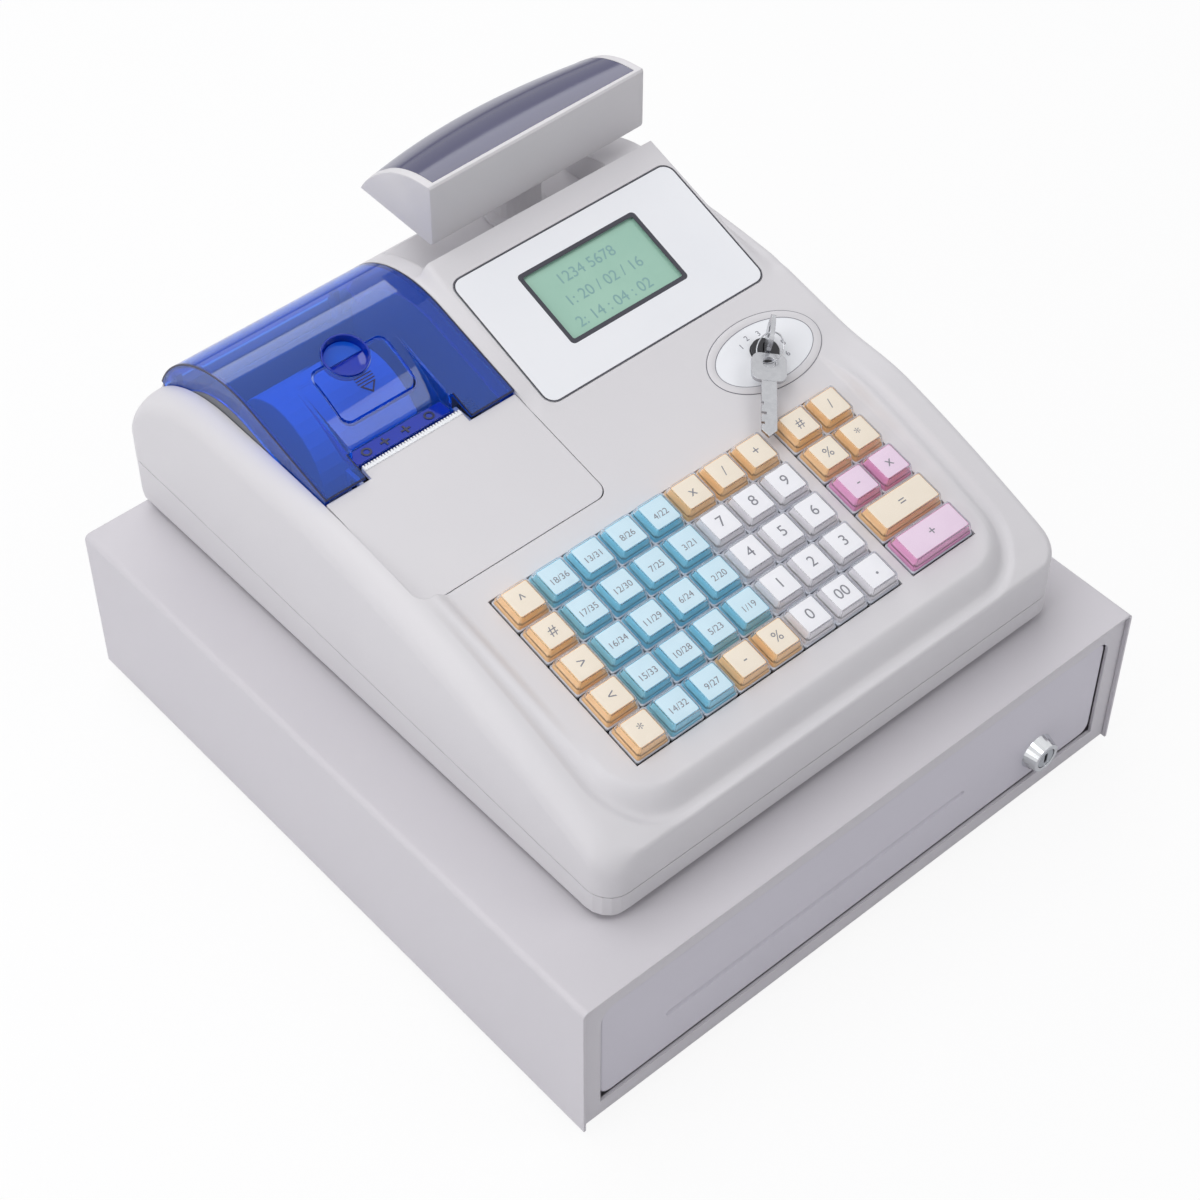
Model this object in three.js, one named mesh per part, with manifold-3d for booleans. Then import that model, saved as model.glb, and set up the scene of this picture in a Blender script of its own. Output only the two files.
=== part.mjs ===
// Cash register with a receipt printer, standing on its cash drawer cabinet.
// Millimetres, +X to the operator's right, +Y away from the operator, +Z up.
// The origin is on the floor, under the middle of the whole machine.
import * as THREE from 'three';
import { mergeVertices } from 'three/addons/utils/BufferGeometryUtils.js';
import Module from 'manifold-3d';

const wasm = await Module();
wasm.setup();

// Clearances that every fitted piece shares
const fitGap = 0.3;
const lineGap = 0.4;
const cutOverrun = 2;
const pinSides = 12;
const smallSides = 16;
const roundSides = 24;
const fineSides = 32;

// Cabinet
const cabinetWidth = 330;
const cabinetDepth = 353;
const cabinetHeight = 86.7;
const sheet = 1.2;
const bendRadius = 3;
const frameSetBack = 2;
const frameLift = 1;
const frameThickness = 1.6;
const frameStile = 9;
const frameTopRail = 9.5;
const frameBottomRail = 9;
const openingCornerRadius = 8;
const chassisSideHeight = 60;
const footHeight = 6;
const footRadius = 9;
const footInset = 22;
const footSeatDepth = 1;

// Drawer
const drawerFrontGap = 0.9;
const drawerFrontSetBack = 4;
const drawerFrontReturn = 8;
const drawerFrontCorner = 6;
const slotLineWidth = 178;
const slotLineHeight = 1.8;
const slotLineDepth = 0.5;
const slotLineCentreX = -25.5;
const slotLineLift = 35.8;
const latchRoom = 45.5;
const trayHeight = 52;
const runnerReach = 4;
const runnerThickness = 3;
const runnerLift = 26;

// Drawer lock
const lockInset = 38.6;
const lockLift = 26.5;
const lockBezelRadius = 10.2;
const lockBezelFaceRadius = 7.6;
const lockBezelReach = 9;
const lockBodyRadius = 8;
const lockBodyLength = 15;
const lockBarrelRadius = 5.2;
const lockCamLength = 17;
const lockCamThickness = 2;
const lockCamWidth = 8;
const keywayShare = 0.6;

// Till insert
const tillWall = 2;
const tillHeight = 44;
const tillFloor = 2;
const tillSetBack = 10;
const tillSidePlay = 2;
const coinRowDepth = 96;
const coinCupCount = 5;
const billSlotCount = 4;
const coinScoop = 12;
const scoopShare = 0.3;
const clipPivotLift = 38;
const clipPinRadius = 1.6;
const clipArmLength = 62;
const clipArmWidth = 16;
const clipArmThickness = 1.6;
const clipRestDegrees = 28;
const clipFootRadius = 3;

// Drawer latch and ejector
const solenoidLength = 34;
const solenoidWidth = 24;
const solenoidHeight = 26;
const hookLength = 20;
const hookThickness = 3;
const hookHeight = 9;
const hookPinRadius = 2;
const springRadius = 7;
const springWire = 1.4;
const springTurns = 7;
const springStepsPerTurn = 8;
const springWireSides = 5;
const springOffsetX = -60;
const strikeReach = 9;
const strikeHeight = 6;
const strikeWidth = 14;

// Register case
const caseWidth = 270.5;
const rearReach = 71;
const caseCentreX = 4.25;
const caseSetBack = 25;
const caseWall = 2.6;
const caseFootHeight = 4;
const caseFootRadius = 8;
const caseFootInset = 26;
const seamFrontHeight = 15.8;
const seamRearHeight = 27.5;
const seamGap = 0.5;
const caseFrontCorner = 13;
const caseRearCorner = 10;
const leftEdgeRadius = 12;
const rightEdgeRadius = 5;
const rimHeight = 93.3;
const rimCrestY = 265;
const caseDepth = rimCrestY + rearReach;
const rearTuck = 9;
const rearLip = 3;
const baseBevel = 1.5;
const tuckShare = 0.35;
const postInset = 12;
const postRadius = 4;
const edgeSteps = 4;
const edgeRoomShare = 0.75;
const leastStep = 0.6;
const rimCurveSteps = 120;
const weldDistance = 0.001;
// Section places behind the crest, as shares of the way to the rear face
const rearShares = [0.09, 0.2, 0.32, 0.43, 0.53, 0.63, 0.72, 0.8, 0.87, 0.93, 0.97, 0.99, 1];
// Rim outline from the front face to the crest, as shares of rimCrestY and rimHeight
const rimShares = [
  [0, 0.332], [0.006, 0.386], [0.015, 0.423], [0.03, 0.45], [0.079, 0.514], [0.226, 0.67],
  [0.374, 0.8], [0.517, 0.892], [0.672, 0.955], [0.8, 0.984], [1, 1],
];

// Keyboard deck: a raised plane, tilted about X
const deckTiltDegrees = 12.9;
const keyEdgeY = 25.3;
const keyEdgeHeight = 53.3;
const plateauFrontY = 13;
const plateauLeftX = -108;
const plateauRightX = 109;
const plateauRearY = 190;
const plateauCorner = 20;
const plateauFillet = 9;
const spreadStartY = 100;
const spreadEndY = 145;
const openingStep = 1;

// Keys
const keyPitch = 19.05;
const keyColumns = 8;
const keyRows = 5;
const keyBlockLeftX = -96.4;
const padLeftX = 63.4;
const padColumns = 2;
const wellMargin = 0.5;
const wellDepth = 7;
const wellWall = 1.5;
const keyGap = 0.8;
const keyTopRise = 7;
const keySkirtDrop = 2.6;
const keyBandHeight = 2.2;
const keyTopInset = 2.3;
const stemSide = 6;
const stemLength = 8;
const plateThickness = 1.6;
const plateMargin = 4;
const cellOverlap = 1;

// Display brow and the flat panel on it
const browStartY = 180;
const browCrestY = 262;
const browTiltDegrees = 20;
const browLeftX = -10.5;
const browRightX = 122.5;
const browFlank = 7.5;
const browBackFall = 3;
const windowLeftX = -9.75;
const windowWidth = 131.4;
const windowLength = 74;
const windowCorner = 6;
const windowThickness = 1.2;
const windowRecess = 1.1;
const lcdWidth = 67.7;
const lcdLength = 39.4;
const lcdLeftX = 20.4;
const lcdStart = 20.4;
const lcdDepth = 8;
const lcdBezel = 2.6;

// Bay and customer display
const bayLeftX = -9.5;
const bayRightX = 100;
const bayStartY = 265;
const bayFloorHeight = 96.3;
const bayFlank = 2.5;
const podCentreX = 60;
const podWidth = 129;
const podHeight = 33;
const podDepth = 51;
const podLift = 121;
const podYawDegrees = 1.25;
const podWall = 2;
const podFrontToMast = 17.5;
const podBow = 8;
const podStations = 9;
const podLineSteps = 6;
const podLineStep = 0.02;
const podHollowShare = 0.2;
const podFrontShare = 0.04;
const podFloorShare = 0.72;
const podRimShare = 0.06;
const podSeatShare = 0.006;
// Top line of the pod from its rear tip to its front edge, as shares of depth and height
const podTopShares = [[1, 0.1], [0.9, 0.32], [0.76, 0.54], [0.53, 0.8], [0.27, 0.95], [0, 1]];
const mastY = 286;
const mastRadius = 12;
const mastFlangeRadius = 16;
const mastFlangeHeight = 2;
const mastWall = 3;
const mastNeckRadius = 9;
const podWindowThickness = 1.6;
const podRim = 4;

// Printer: opening, hood, front panel and inner works
const printerLeftX = -122.75;
const printerRightX = -18.25;
const printerFrontY = 131;
const printerCorner = 6;
const hoodFrontY = 194;
const hoodArcCentreY = 262;
const hoodArcCentreHeight = 50.8;
const hoodRadius = 61;
const hoodSlopeDegrees = 16.8;
const hoodPivotDegrees = 25;
const hoodWall = 2;
const hoodSideDrop = 13;
const hoodBarrelRadius = 2.6;
const hoodArcSteps = 14;
const notchLeftX = -100.7;
const notchRightX = -42.7;
const notchRearY = 207;
const rampLeftX = -98;
const rampRightX = -45;
const rampRearY = 246;
const rampFrontY = 213;
const rampDrop = 8.5;
const rampSteps = 8;
const ledgeFrontY = 204.4;
const latchLeftX = -89.8;
const latchWidth = 39.4;
const latchFrontY = 222;
const latchLength = 25.5;
const latchCorner = 4;
const panelThickness = 2.5;
const tearBarWidth = 54;
const tearBarLeftX = -98.4;
const tearBarY = 201;
const toothCount = 35;
const toothDepth = 1.2;
const tubWall = 2;
const tubRimDrop = 9;
const tubFloorHeight = 16;
const earWidth = 3;
const earInset = 5;
const earDrop = 12;
const earRelief = 6.5;
const hoodPinRadius = 1.5;
const cradleStub = 3;
const cheekReach = 14;
const latchFlange = 2;
const latchLegDrop = 14;
const platenRadius = 6;
const platenLength = 57;
const platenY = 203;
const platenHeight = 82;
const platenShaftRadius = 2.5;
const gearTeeth = 18;
const gearModule = 0.8;
const gearWidth = 5;
const mechanismWall = 2;
const mechanismLength = 46;
const rollRadius = 31;
const rollCoreRadius = 8.5;
const paperWidth = 56;
const rollY = 262;
const rollHeight = 52;
const paperCentreX = -70.5;
const cradleWall = 2.2;

// Mode switch with its two keys
const modeCentreX = 91;
const modeCentreAlong = 127;
const modeHalfWidth = 31;
const modeHalfLength = 19.5;
const modePlateThickness = 1.2;
const modePlateRecess = 0.9;
const modeBarrelRadius = 6.6;
const modeBarrelRise = 2;
const modeBarrelDepth = 28;
const ovalSides = 40;
const keySheet = 2;
const bowWidth = 16;
const bowLength = 15;
const bowCorner = 4;
const bladeWidth = 7;
const bladeLength = 30;
const bladeThickness = 1.6;
const bowHoleRadius = 3;
const bowHoleInset = 5;
// Cuts along the blade: place from the tip and depth, as shares of its length and width
const bitShares = [[0.2, 0.2], [0.38, 0.32], [0.56, 0.14]];
const modeKeyTurnDegrees = 44;
const modeKeyRise = 20;
const ringRadius = 7.2;
const ringWire = 0.7;
const ringWireSides = 6;
const spareTipX = 55.1;
const spareTipAlong = 87.1;
const spareTurnDegrees = 138;
const spareTiltDegrees = 1.5;
const spareTipRise = 7.4;

const radians = THREE.MathUtils.degToRad;
const deckTilt = radians(deckTiltDegrees);
const browTilt = radians(browTiltDegrees);
const hoodSlope = radians(hoodSlopeDegrees);
const hoodPivotAngle = radians(hoodPivotDegrees);
const caseLeftX = -caseWidth / 2;
const caseRightX = caseWidth / 2;

// Materials
function plastic(colour, roughness = 0.55) {
  return new THREE.MeshStandardMaterial({ color: colour, roughness, metalness: 0 });
}

function metal(colour, roughness = 0.35) {
  return new THREE.MeshStandardMaterial({ color: colour, roughness, metalness: 1 });
}

const warmGreyCase = plastic('#d9d8d6');
const warmGreyPaint = plastic('#d3d1ce', 0.45);
const lilacPaint = plastic('#bab8c3', 0.45);
const zincSteel = metal('#b9bcc0');
const chrome = metal('#d8dadd', 0.12);
const blackPlastic = plastic('#26262b');
const tillPlastic = plastic('#3a3a3e');
const blackRubber = plastic('#1b1b1d', 0.8);
const blueClear = new THREE.MeshStandardMaterial({
  color: '#1a3fbf', roughness: 0.08, metalness: 0, transparent: true, opacity: 0.6,
});
const smokedClear = plastic('#34343f', 0.1);
const whiteFilm = plastic('#eef0f4', 0.35);
const lcdGreen = plastic('#a3c8b8', 0.25);
const whiteKey = plastic('#eceef2', 0.3);
const creamKey = plastic('#f0dcb8', 0.3);
const pinkKey = plastic('#e3b9dc', 0.3);
const paper = plastic('#f4f2ee', 0.9);
const springSteel = metal('#9a9da1', 0.3);

// Solid helpers

function toSolid(geometry) {
  const bare = geometry.clone();
  bare.deleteAttribute('normal');
  bare.deleteAttribute('uv');
  const welded = mergeVertices(bare, weldDistance);
  const corners = Array.from(welded.index.array);
  const kept = [];
  for (let i = 0; i < corners.length; i += 3) {
    const [a, b, c] = corners.slice(i, i + 3);
    if (a !== b && b !== c && c !== a) kept.push(a, b, c);
  }
  return new wasm.Manifold(new wasm.Mesh({
    numProp: 3,
    vertProperties: Float32Array.from(welded.attributes.position.array),
    triVerts: Uint32Array.from(kept),
  }));
}

function toGeometry(solid) {
  const { vertProperties, triVerts } = solid.getMesh();
  const geometry = new THREE.BufferGeometry();
  geometry.setAttribute('position', new THREE.BufferAttribute(Float32Array.from(vertProperties), 3));
  geometry.setIndex(new THREE.BufferAttribute(Uint32Array.from(triVerts), 1));
  const flat = geometry.toNonIndexed();
  flat.computeVertexNormals();
  return flat;
}

function join(...geometries) {
  return toGeometry(geometries.map(toSolid).reduce((whole, next) => whole.add(next)));
}

function cut(body, ...tools) {
  return toGeometry(tools.map(toSolid).reduce((left, tool) => left.subtract(tool), toSolid(body)));
}

function common(first, second) {
  return toGeometry(toSolid(first).intersect(toSolid(second)));
}

function piece(name, geometry, material, parent, place = [0, 0, 0]) {
  const mesh = new THREE.Mesh(geometry, material);
  mesh.name = name;
  mesh.position.set(...place);
  parent.add(mesh);
  return mesh;
}

function vectors(pairs) {
  return pairs.map(([a, b]) => new THREE.Vector2(a, b));
}

function extrude(outline, depth, holes = []) {
  const shape = new THREE.Shape(vectors(outline));
  shape.holes = holes.map((hole) => new THREE.Path(vectors(hole)));
  return new THREE.ExtrudeGeometry(shape, { depth, bevelEnabled: false, steps: 1 });
}

// Outline in (y, z), swept from x0 to x1
function alongX(outline, x0, x1) {
  const turn = new THREE.Matrix4().makeBasis(
    new THREE.Vector3(0, 1, 0), new THREE.Vector3(0, 0, 1), new THREE.Vector3(1, 0, 0),
  );
  return extrude(outline, x1 - x0).applyMatrix4(turn).translate(x0, 0, 0);
}

// Outline in (x, z), swept from y0 to y1
function alongY(outline, y0, y1, holes = []) {
  const turn = new THREE.Matrix4().makeBasis(
    new THREE.Vector3(1, 0, 0), new THREE.Vector3(0, 0, 1), new THREE.Vector3(0, -1, 0),
  );
  return extrude(outline, y1 - y0, holes).applyMatrix4(turn).translate(0, y1, 0);
}

// Outline in (x, y), swept from z0 to z1
function alongZ(outline, z0, z1) {
  return extrude(outline, z1 - z0).translate(0, 0, z0);
}

function block(x0, x1, y0, y1, z0, z1) {
  return new THREE.BoxGeometry(x1 - x0, y1 - y0, z1 - z0)
    .translate((x0 + x1) / 2, (y0 + y1) / 2, (z0 + z1) / 2);
}

// Round bar from its start point along X, Y or Z
function bar(axis, radius, length, [x, y, z], sides = roundSides, endRadius = radius) {
  const geometry = new THREE.CylinderGeometry(endRadius, radius, length, sides).translate(0, length / 2, 0);
  if (axis === 'x') geometry.rotateZ(-Math.PI / 2);
  if (axis === 'z') geometry.rotateX(Math.PI / 2);
  return geometry.translate(x, y, z);
}

// Rectangle outline with a radius at each corner: (a0,b0), (a1,b0), (a1,b1), (a0,b1)
function roundedRectangle(a0, a1, b0, b1, radii, steps = 5) {
  const corner = Array.isArray(radii) ? radii : [radii, radii, radii, radii];
  const centres = [[a0, b0, 1, 1], [a1, b0, -1, 1], [a1, b1, -1, -1], [a0, b1, 1, -1]];
  const outline = [];
  centres.forEach(([a, b, towardA, towardB], index) => {
    const radius = corner[index];
    const count = radius > 0 ? steps : 0;
    for (let i = 0; i <= count; i += 1) {
      const angle = Math.PI + (index * Math.PI) / 2 + (count ? (i / count) * (Math.PI / 2) : 0);
      const centreA = a + towardA * radius;
      const centreB = b + towardB * radius;
      outline.push([centreA + radius * Math.cos(angle), centreB + radius * Math.sin(angle)]);
    }
  });
  return outline;
}

function circle(a, b, radius, sides) {
  const turn = (2 * Math.PI) / sides;
  return Array.from({ length: sides }, (_, i) => [
    a + radius * Math.cos(i * turn), b + radius * Math.sin(i * turn),
  ]);
}

function mix(a, b, share) {
  return a + (b - a) * share;
}

function smooth(from, to, value) {
  const share = THREE.MathUtils.clamp((value - from) / (to - from), 0, 1);
  return share * share * (3 - 2 * share);
}

// Cabinet: folded steel cover, chassis with the front frame, and four feet
const cabinet = new THREE.Group();
cabinet.position.z = footHeight;
const cabinetLeftX = -cabinetWidth / 2;
const cabinetRightX = cabinetWidth / 2;
const chassisRightX = cabinetRightX - sheet - fitGap;
const chassisTop = cabinetHeight - sheet - fitGap;
const frameFrontY = frameSetBack;
const frameBackY = frameFrontY + frameThickness;
const openingRightX = cabinetRightX - frameSetBack - frameStile;
const openingBottom = frameLift + frameBottomRail;
const openingTop = chassisTop - frameTopRail;

function cabinetCover() {
  const outer = roundedRectangle(
    cabinetLeftX, cabinetRightX, 0, cabinetHeight, [0, 0, bendRadius, bendRadius],
  );
  const innerBend = bendRadius - sheet;
  const inner = roundedRectangle(
    cabinetLeftX + sheet, cabinetRightX - sheet, -cutOverrun, cabinetHeight - sheet,
    [0, 0, innerBend, innerBend],
  );
  return cut(alongY(outer, 0, cabinetDepth), alongY(inner, -cutOverrun, cabinetDepth + cutOverrun));
}

function cabinetChassis() {
  const innerBend = bendRadius - sheet;
  const frame = alongY(
    roundedRectangle(-chassisRightX, chassisRightX, frameLift, chassisTop, [0, 0, innerBend, innerBend]),
    frameFrontY, frameBackY,
    [roundedRectangle(
      -openingRightX, openingRightX, openingBottom, openingTop,
      [0, 0, openingCornerRadius, openingCornerRadius],
    )],
  );
  const pan = block(
    -chassisRightX, chassisRightX, frameFrontY, cabinetDepth - frameSetBack, frameLift, frameLift + sheet,
  );
  const back = block(
    -chassisRightX, chassisRightX, cabinetDepth - frameSetBack - sheet, cabinetDepth - frameSetBack,
    frameLift, chassisTop - innerBend,
  );
  const sides = [-chassisRightX, chassisRightX - sheet].map((x) => block(
    x, x + sheet, frameFrontY, cabinetDepth - frameSetBack, frameLift, chassisSideHeight,
  ));
  return join(frame, pan, back, ...sides);
}

function rubberFoot() {
  const taper = footRadius - footSeatDepth;
  return bar('z', taper, footHeight + frameLift - fitGap, [0, 0, -footHeight], roundSides, footRadius);
}

piece('cabinet_cover', cabinetCover(), warmGreyPaint, cabinet);
piece('cabinet_chassis', cabinetChassis(), warmGreyPaint, cabinet);
const footPlaces = {
  foot_front_left: [cabinetLeftX + footInset, footInset, 0],
  foot_front_right: [cabinetRightX - footInset, footInset, 0],
  foot_rear_left: [cabinetLeftX + footInset, cabinetDepth - footInset, 0],
  foot_rear_right: [cabinetRightX - footInset, cabinetDepth - footInset, 0],
};
for (const [name, place] of Object.entries(footPlaces)) {
  piece(name, rubberFoot(), blackRubber, cabinet, place);
}

// Drawer: front, tray with runners, and the fixed rails
const drawerRightX = openingRightX - drawerFrontGap;
const drawerBottom = openingBottom + drawerFrontGap;
const drawerTop = openingTop - drawerFrontGap;
const drawerFaceY = frameFrontY + drawerFrontSetBack;
const drawerReturnY = drawerFaceY + drawerFrontReturn;
const lockOffsetX = drawerRightX - lockInset;
const trayFrontY = drawerReturnY + fitGap;
const chassisBackY = cabinetDepth - frameSetBack - sheet;
const trayBackY = chassisBackY - latchRoom;
const trayRightX = openingRightX - runnerReach - lineGap;
const trayBottom = openingBottom + lineGap;
const trayTop = trayBottom + trayHeight;
const runnerBottom = trayBottom + runnerLift;

function drawerFront() {
  const outline = (inset, bottomInset) => roundedRectangle(
    -drawerRightX + inset, drawerRightX - inset, drawerBottom + bottomInset, drawerTop - inset,
    drawerFrontCorner - Math.min(inset, drawerFrontCorner / 2),
  );
  const pan = cut(
    alongY(outline(0, 0), drawerFaceY, drawerReturnY),
    alongY(outline(frameThickness, frameThickness), drawerFaceY + frameThickness, drawerReturnY + cutOverrun),
  );
  const halfLine = slotLineWidth / 2;
  const groove = alongY(
    roundedRectangle(
      slotLineCentreX - halfLine, slotLineCentreX + halfLine,
      slotLineLift, slotLineLift + slotLineHeight, slotLineHeight / 2,
    ),
    drawerFaceY - cutOverrun, drawerFaceY + slotLineDepth,
  );
  const lockHole = bar(
    'y', lockBodyRadius + fitGap, drawerReturnY, [lockOffsetX, drawerFaceY - cutOverrun, lockLift],
  );
  return cut(pan, groove, lockHole);
}

function drawerTray() {
  const shell = cut(
    block(-trayRightX, trayRightX, trayFrontY, trayBackY, trayBottom, trayTop),
    block(
      -trayRightX + sheet, trayRightX - sheet, trayFrontY + sheet, trayBackY - sheet,
      trayBottom + sheet, trayTop + cutOverrun,
    ),
    bar(
      'y', lockBodyRadius + fitGap, sheet + 2 * cutOverrun, [lockOffsetX, trayFrontY - cutOverrun, lockLift],
    ),
  );
  const runners = [-1, 1].map((side) => {
    const inner = side * (trayRightX - sheet / 2);
    const outer = side * (trayRightX + runnerReach);
    return block(
      Math.min(inner, outer), Math.max(inner, outer), trayFrontY + frameStile, trayBackY,
      runnerBottom, runnerBottom + runnerThickness,
    );
  });
  const strike = alongX(
    [
      [trayBackY - sheet / 2, trayBottom + sheet],
      [trayBackY + strikeReach, trayBottom + sheet],
      [trayBackY + strikeReach, trayBottom + sheet + strikeHeight],
      [trayBackY + strikeReach - sheet, trayBottom + sheet + strikeHeight],
      [trayBackY + strikeReach - sheet, trayBottom + 2 * sheet],
      [trayBackY - sheet / 2, trayBottom + 2 * sheet],
    ],
    -strikeWidth / 2, strikeWidth / 2,
  );
  return join(shell, ...runners, strike);
}

function slideRail(side) {
  const wallX = chassisRightX - sheet - fitGap;
  const lipX = trayRightX + fitGap + sheet;
  const floorZ = runnerBottom - fitGap - sheet;
  const roofZ = runnerBottom + runnerThickness + fitGap;
  const outline = [
    [lipX, floorZ], [wallX, floorZ], [wallX, roofZ + sheet], [lipX, roofZ + sheet],
    [lipX, roofZ], [wallX - sheet, roofZ], [wallX - sheet, floorZ + sheet], [lipX, floorZ + sheet],
  ].map(([x, z]) => [side * x, z]);
  return alongY(side > 0 ? outline : outline.reverse(), drawerReturnY + lineGap, trayBackY);
}

piece('drawer_front', drawerFront(), lilacPaint, cabinet);
piece('drawer_tray', drawerTray(), zincSteel, cabinet);
piece('rail_left', slideRail(-1), zincSteel, cabinet);
piece('rail_right', slideRail(1), zincSteel, cabinet);

// Drawer lock: bezel and body in one casting, and the barrel with its cam
function lockHousing() {
  const collarRadius = lockBezelRadius;
  const bezel = bar(
    'y', lockBezelFaceRadius, lockBezelReach, [lockOffsetX, drawerFaceY - fitGap - lockBezelReach, lockLift],
    32, collarRadius,
  );
  const body = bar(
    'y', lockBodyRadius, lockBodyLength + cutOverrun,
    [lockOffsetX, drawerFaceY - fitGap - cutOverrun, lockLift], fineSides,
  );
  const bore = bar(
    'y', lockBarrelRadius + fitGap, lockBezelReach + lockBodyLength + 2 * cutOverrun,
    [lockOffsetX, drawerFaceY - lockBezelReach - cutOverrun, lockLift], fineSides,
  );
  return cut(join(bezel, body), bore);
}

function lockBarrel() {
  const faceY = drawerFaceY - lockBezelReach;
  const length = lockBezelReach + lockBodyLength + lockCamThickness;
  const barrel = bar('y', lockBarrelRadius, length, [lockOffsetX, faceY, lockLift], fineSides);
  const camY = faceY + length - lockCamThickness;
  const cam = alongY(
    roundedRectangle(
      lockOffsetX - lockCamWidth / 2, lockOffsetX + lockCamWidth / 2,
      lockLift - lockCamWidth / 2, lockLift + lockCamLength - lockCamWidth / 2, lockCamWidth / 2 - fitGap,
    ),
    camY, camY + lockCamThickness,
  );
  const keyway = alongY(
    roundedRectangle(
      lockOffsetX - lockCamThickness / 2, lockOffsetX + lockCamThickness / 2,
      lockLift - lockBarrelRadius * keywayShare, lockLift + lockBarrelRadius * keywayShare,
      lockCamThickness / 2 - fitGap,
    ),
    faceY - cutOverrun, faceY + lockBezelReach,
  );
  return cut(join(barrel, cam), keyway);
}

piece('drawer_lock_housing', lockHousing(), chrome, cabinet);
piece('drawer_lock_barrel', lockBarrel(), chrome, cabinet);

// Till insert: a row of coin cups in front, bill slots with sprung clips behind
const tillRightX = trayRightX - sheet - tillSidePlay;
const tillFrontY = trayFrontY + sheet + tillSetBack;
const tillBackY = trayBackY - sheet - tillSetBack;
const tillBottom = trayBottom + sheet + fitGap;
const tillTop = tillBottom + tillHeight;
const tillInnerWidth = 2 * (tillRightX - tillWall);
const billWidth = (tillInnerWidth - (billSlotCount - 1) * tillWall) / billSlotCount;
const billFrontY = tillFrontY + 2 * tillWall + coinRowDepth;
const billSlotDepth = tillBackY - tillWall - billFrontY;
const clipPivotY = tillBackY - tillWall - clipPinRadius - 3 * fitGap;
const clipPivotZ = tillBottom + clipPivotLift;

function tillInsert() {
  const cells = [];
  const coinWidth = (tillInnerWidth - (coinCupCount - 1) * tillWall) / coinCupCount;
  const coinFrontY = tillFrontY + tillWall;
  const floorZ = tillBottom + tillFloor;
  const scoop = [
    [coinFrontY, tillTop + cutOverrun], [coinFrontY, floorZ + coinScoop],
    [coinFrontY + coinScoop * scoopShare, floorZ + coinScoop * scoopShare], [coinFrontY + coinScoop, floorZ],
    [coinFrontY + coinRowDepth - coinScoop, floorZ],
    [coinFrontY + coinRowDepth - coinScoop * scoopShare, floorZ + coinScoop * scoopShare],
    [coinFrontY + coinRowDepth, floorZ + coinScoop], [coinFrontY + coinRowDepth, tillTop + cutOverrun],
  ];
  for (let i = 0; i < coinCupCount; i += 1) {
    const x = -tillRightX + tillWall + i * (coinWidth + tillWall);
    cells.push(alongX(scoop, x, x + coinWidth));
  }
  for (let i = 0; i < billSlotCount; i += 1) {
    const x = -tillRightX + tillWall + i * (billWidth + tillWall);
    cells.push(block(x, x + billWidth, billFrontY, billFrontY + billSlotDepth, floorZ, tillTop + cutOverrun));
  }
  const body = block(-tillRightX, tillRightX, tillFrontY, tillBackY, tillBottom, tillTop);
  const pinHoles = bar(
    'x', clipPinRadius + fitGap, 2 * tillRightX - tillWall,
    [-tillRightX + tillWall / 2, clipPivotY, clipPivotZ], pinSides,
  );
  return cut(body, ...cells, pinHoles);
}

function billClip() {
  const rest = radians(clipRestDegrees);
  const pinHalf = billWidth / 2 + tillWall / 2 - fitGap;
  const pin = bar('x', clipPinRadius, 2 * pinHalf, [-pinHalf, 0, 0], pinSides);
  const arm = block(
    -clipArmWidth / 2, clipArmWidth / 2, -clipArmLength, 0, -clipArmThickness / 2, clipArmThickness / 2,
  );
  const foot = bar('x', clipFootRadius, clipArmWidth, [-clipArmWidth / 2, -clipArmLength, 0], pinSides);
  return join(pin, arm, foot).rotateX(rest);
}

piece('till_insert', tillInsert(), tillPlastic, cabinet);
for (let i = 0; i < billSlotCount; i += 1) {
  const x = -tillRightX + tillWall + i * (billWidth + tillWall) + billWidth / 2;
  piece(`bill_clip_${i + 1}`, billClip(), springSteel, cabinet, [x, clipPivotY, clipPivotZ]);
}

// Latch behind the tray: solenoid with a bracket, its hook, and the ejector spring
const chassisFloorZ = frameLift + sheet;
const hookPivotY = trayBackY + hookLength + strikeReach / 2;
const hookPivotZ = trayBottom + 2 * sheet + strikeHeight + hookHeight;
const toothLength = hookHeight - hookThickness / 2 - fitGap + sheet / 2;

function latchSolenoid() {
  const frontY = hookPivotY - hookPinRadius - 2 * sheet;
  const coil = block(
    hookThickness + sheet + 2 * fitGap, hookThickness + sheet + solenoidWidth, chassisBackY - solenoidLength,
    chassisBackY - fitGap, chassisFloorZ + fitGap, chassisFloorZ + solenoidHeight,
  );
  const ears = [-1, 1].map((side) => {
    const inner = side * (hookThickness / 2 + fitGap);
    const outer = side * (hookThickness / 2 + fitGap + sheet);
    return block(
      Math.min(inner, outer), Math.max(inner, outer), frontY, chassisBackY - fitGap,
      chassisFloorZ + fitGap, hookPivotZ + hookPinRadius + sheet,
    );
  });
  const foot = block(
    -solenoidWidth / 2, hookThickness + sheet + solenoidWidth, frontY, chassisBackY - fitGap,
    chassisFloorZ + fitGap, chassisFloorZ + fitGap + sheet,
  );
  const pinHole = bar(
    'x', hookPinRadius + fitGap, hookThickness + 4 * sheet,
    [-hookThickness / 2 - 2 * sheet, hookPivotY, hookPivotZ], pinSides,
  );
  return cut(join(coil, ...ears, foot), pinHole);
}

function latchHook() {
  const half = hookThickness / 2;
  const pinHalf = half + fitGap + sheet;
  const lever = alongX(
    [
      [hookThickness, -half], [hookThickness, half], [-hookLength, half],
      [-hookLength - hookThickness, -half], [-hookLength - hookThickness, -toothLength],
      [-hookLength, -toothLength], [-hookLength, -half],
    ].reverse(),
    -half, half,
  );
  return join(lever, bar('x', hookPinRadius, 2 * pinHalf, [-pinHalf, 0, 0], pinSides));
}

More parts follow.
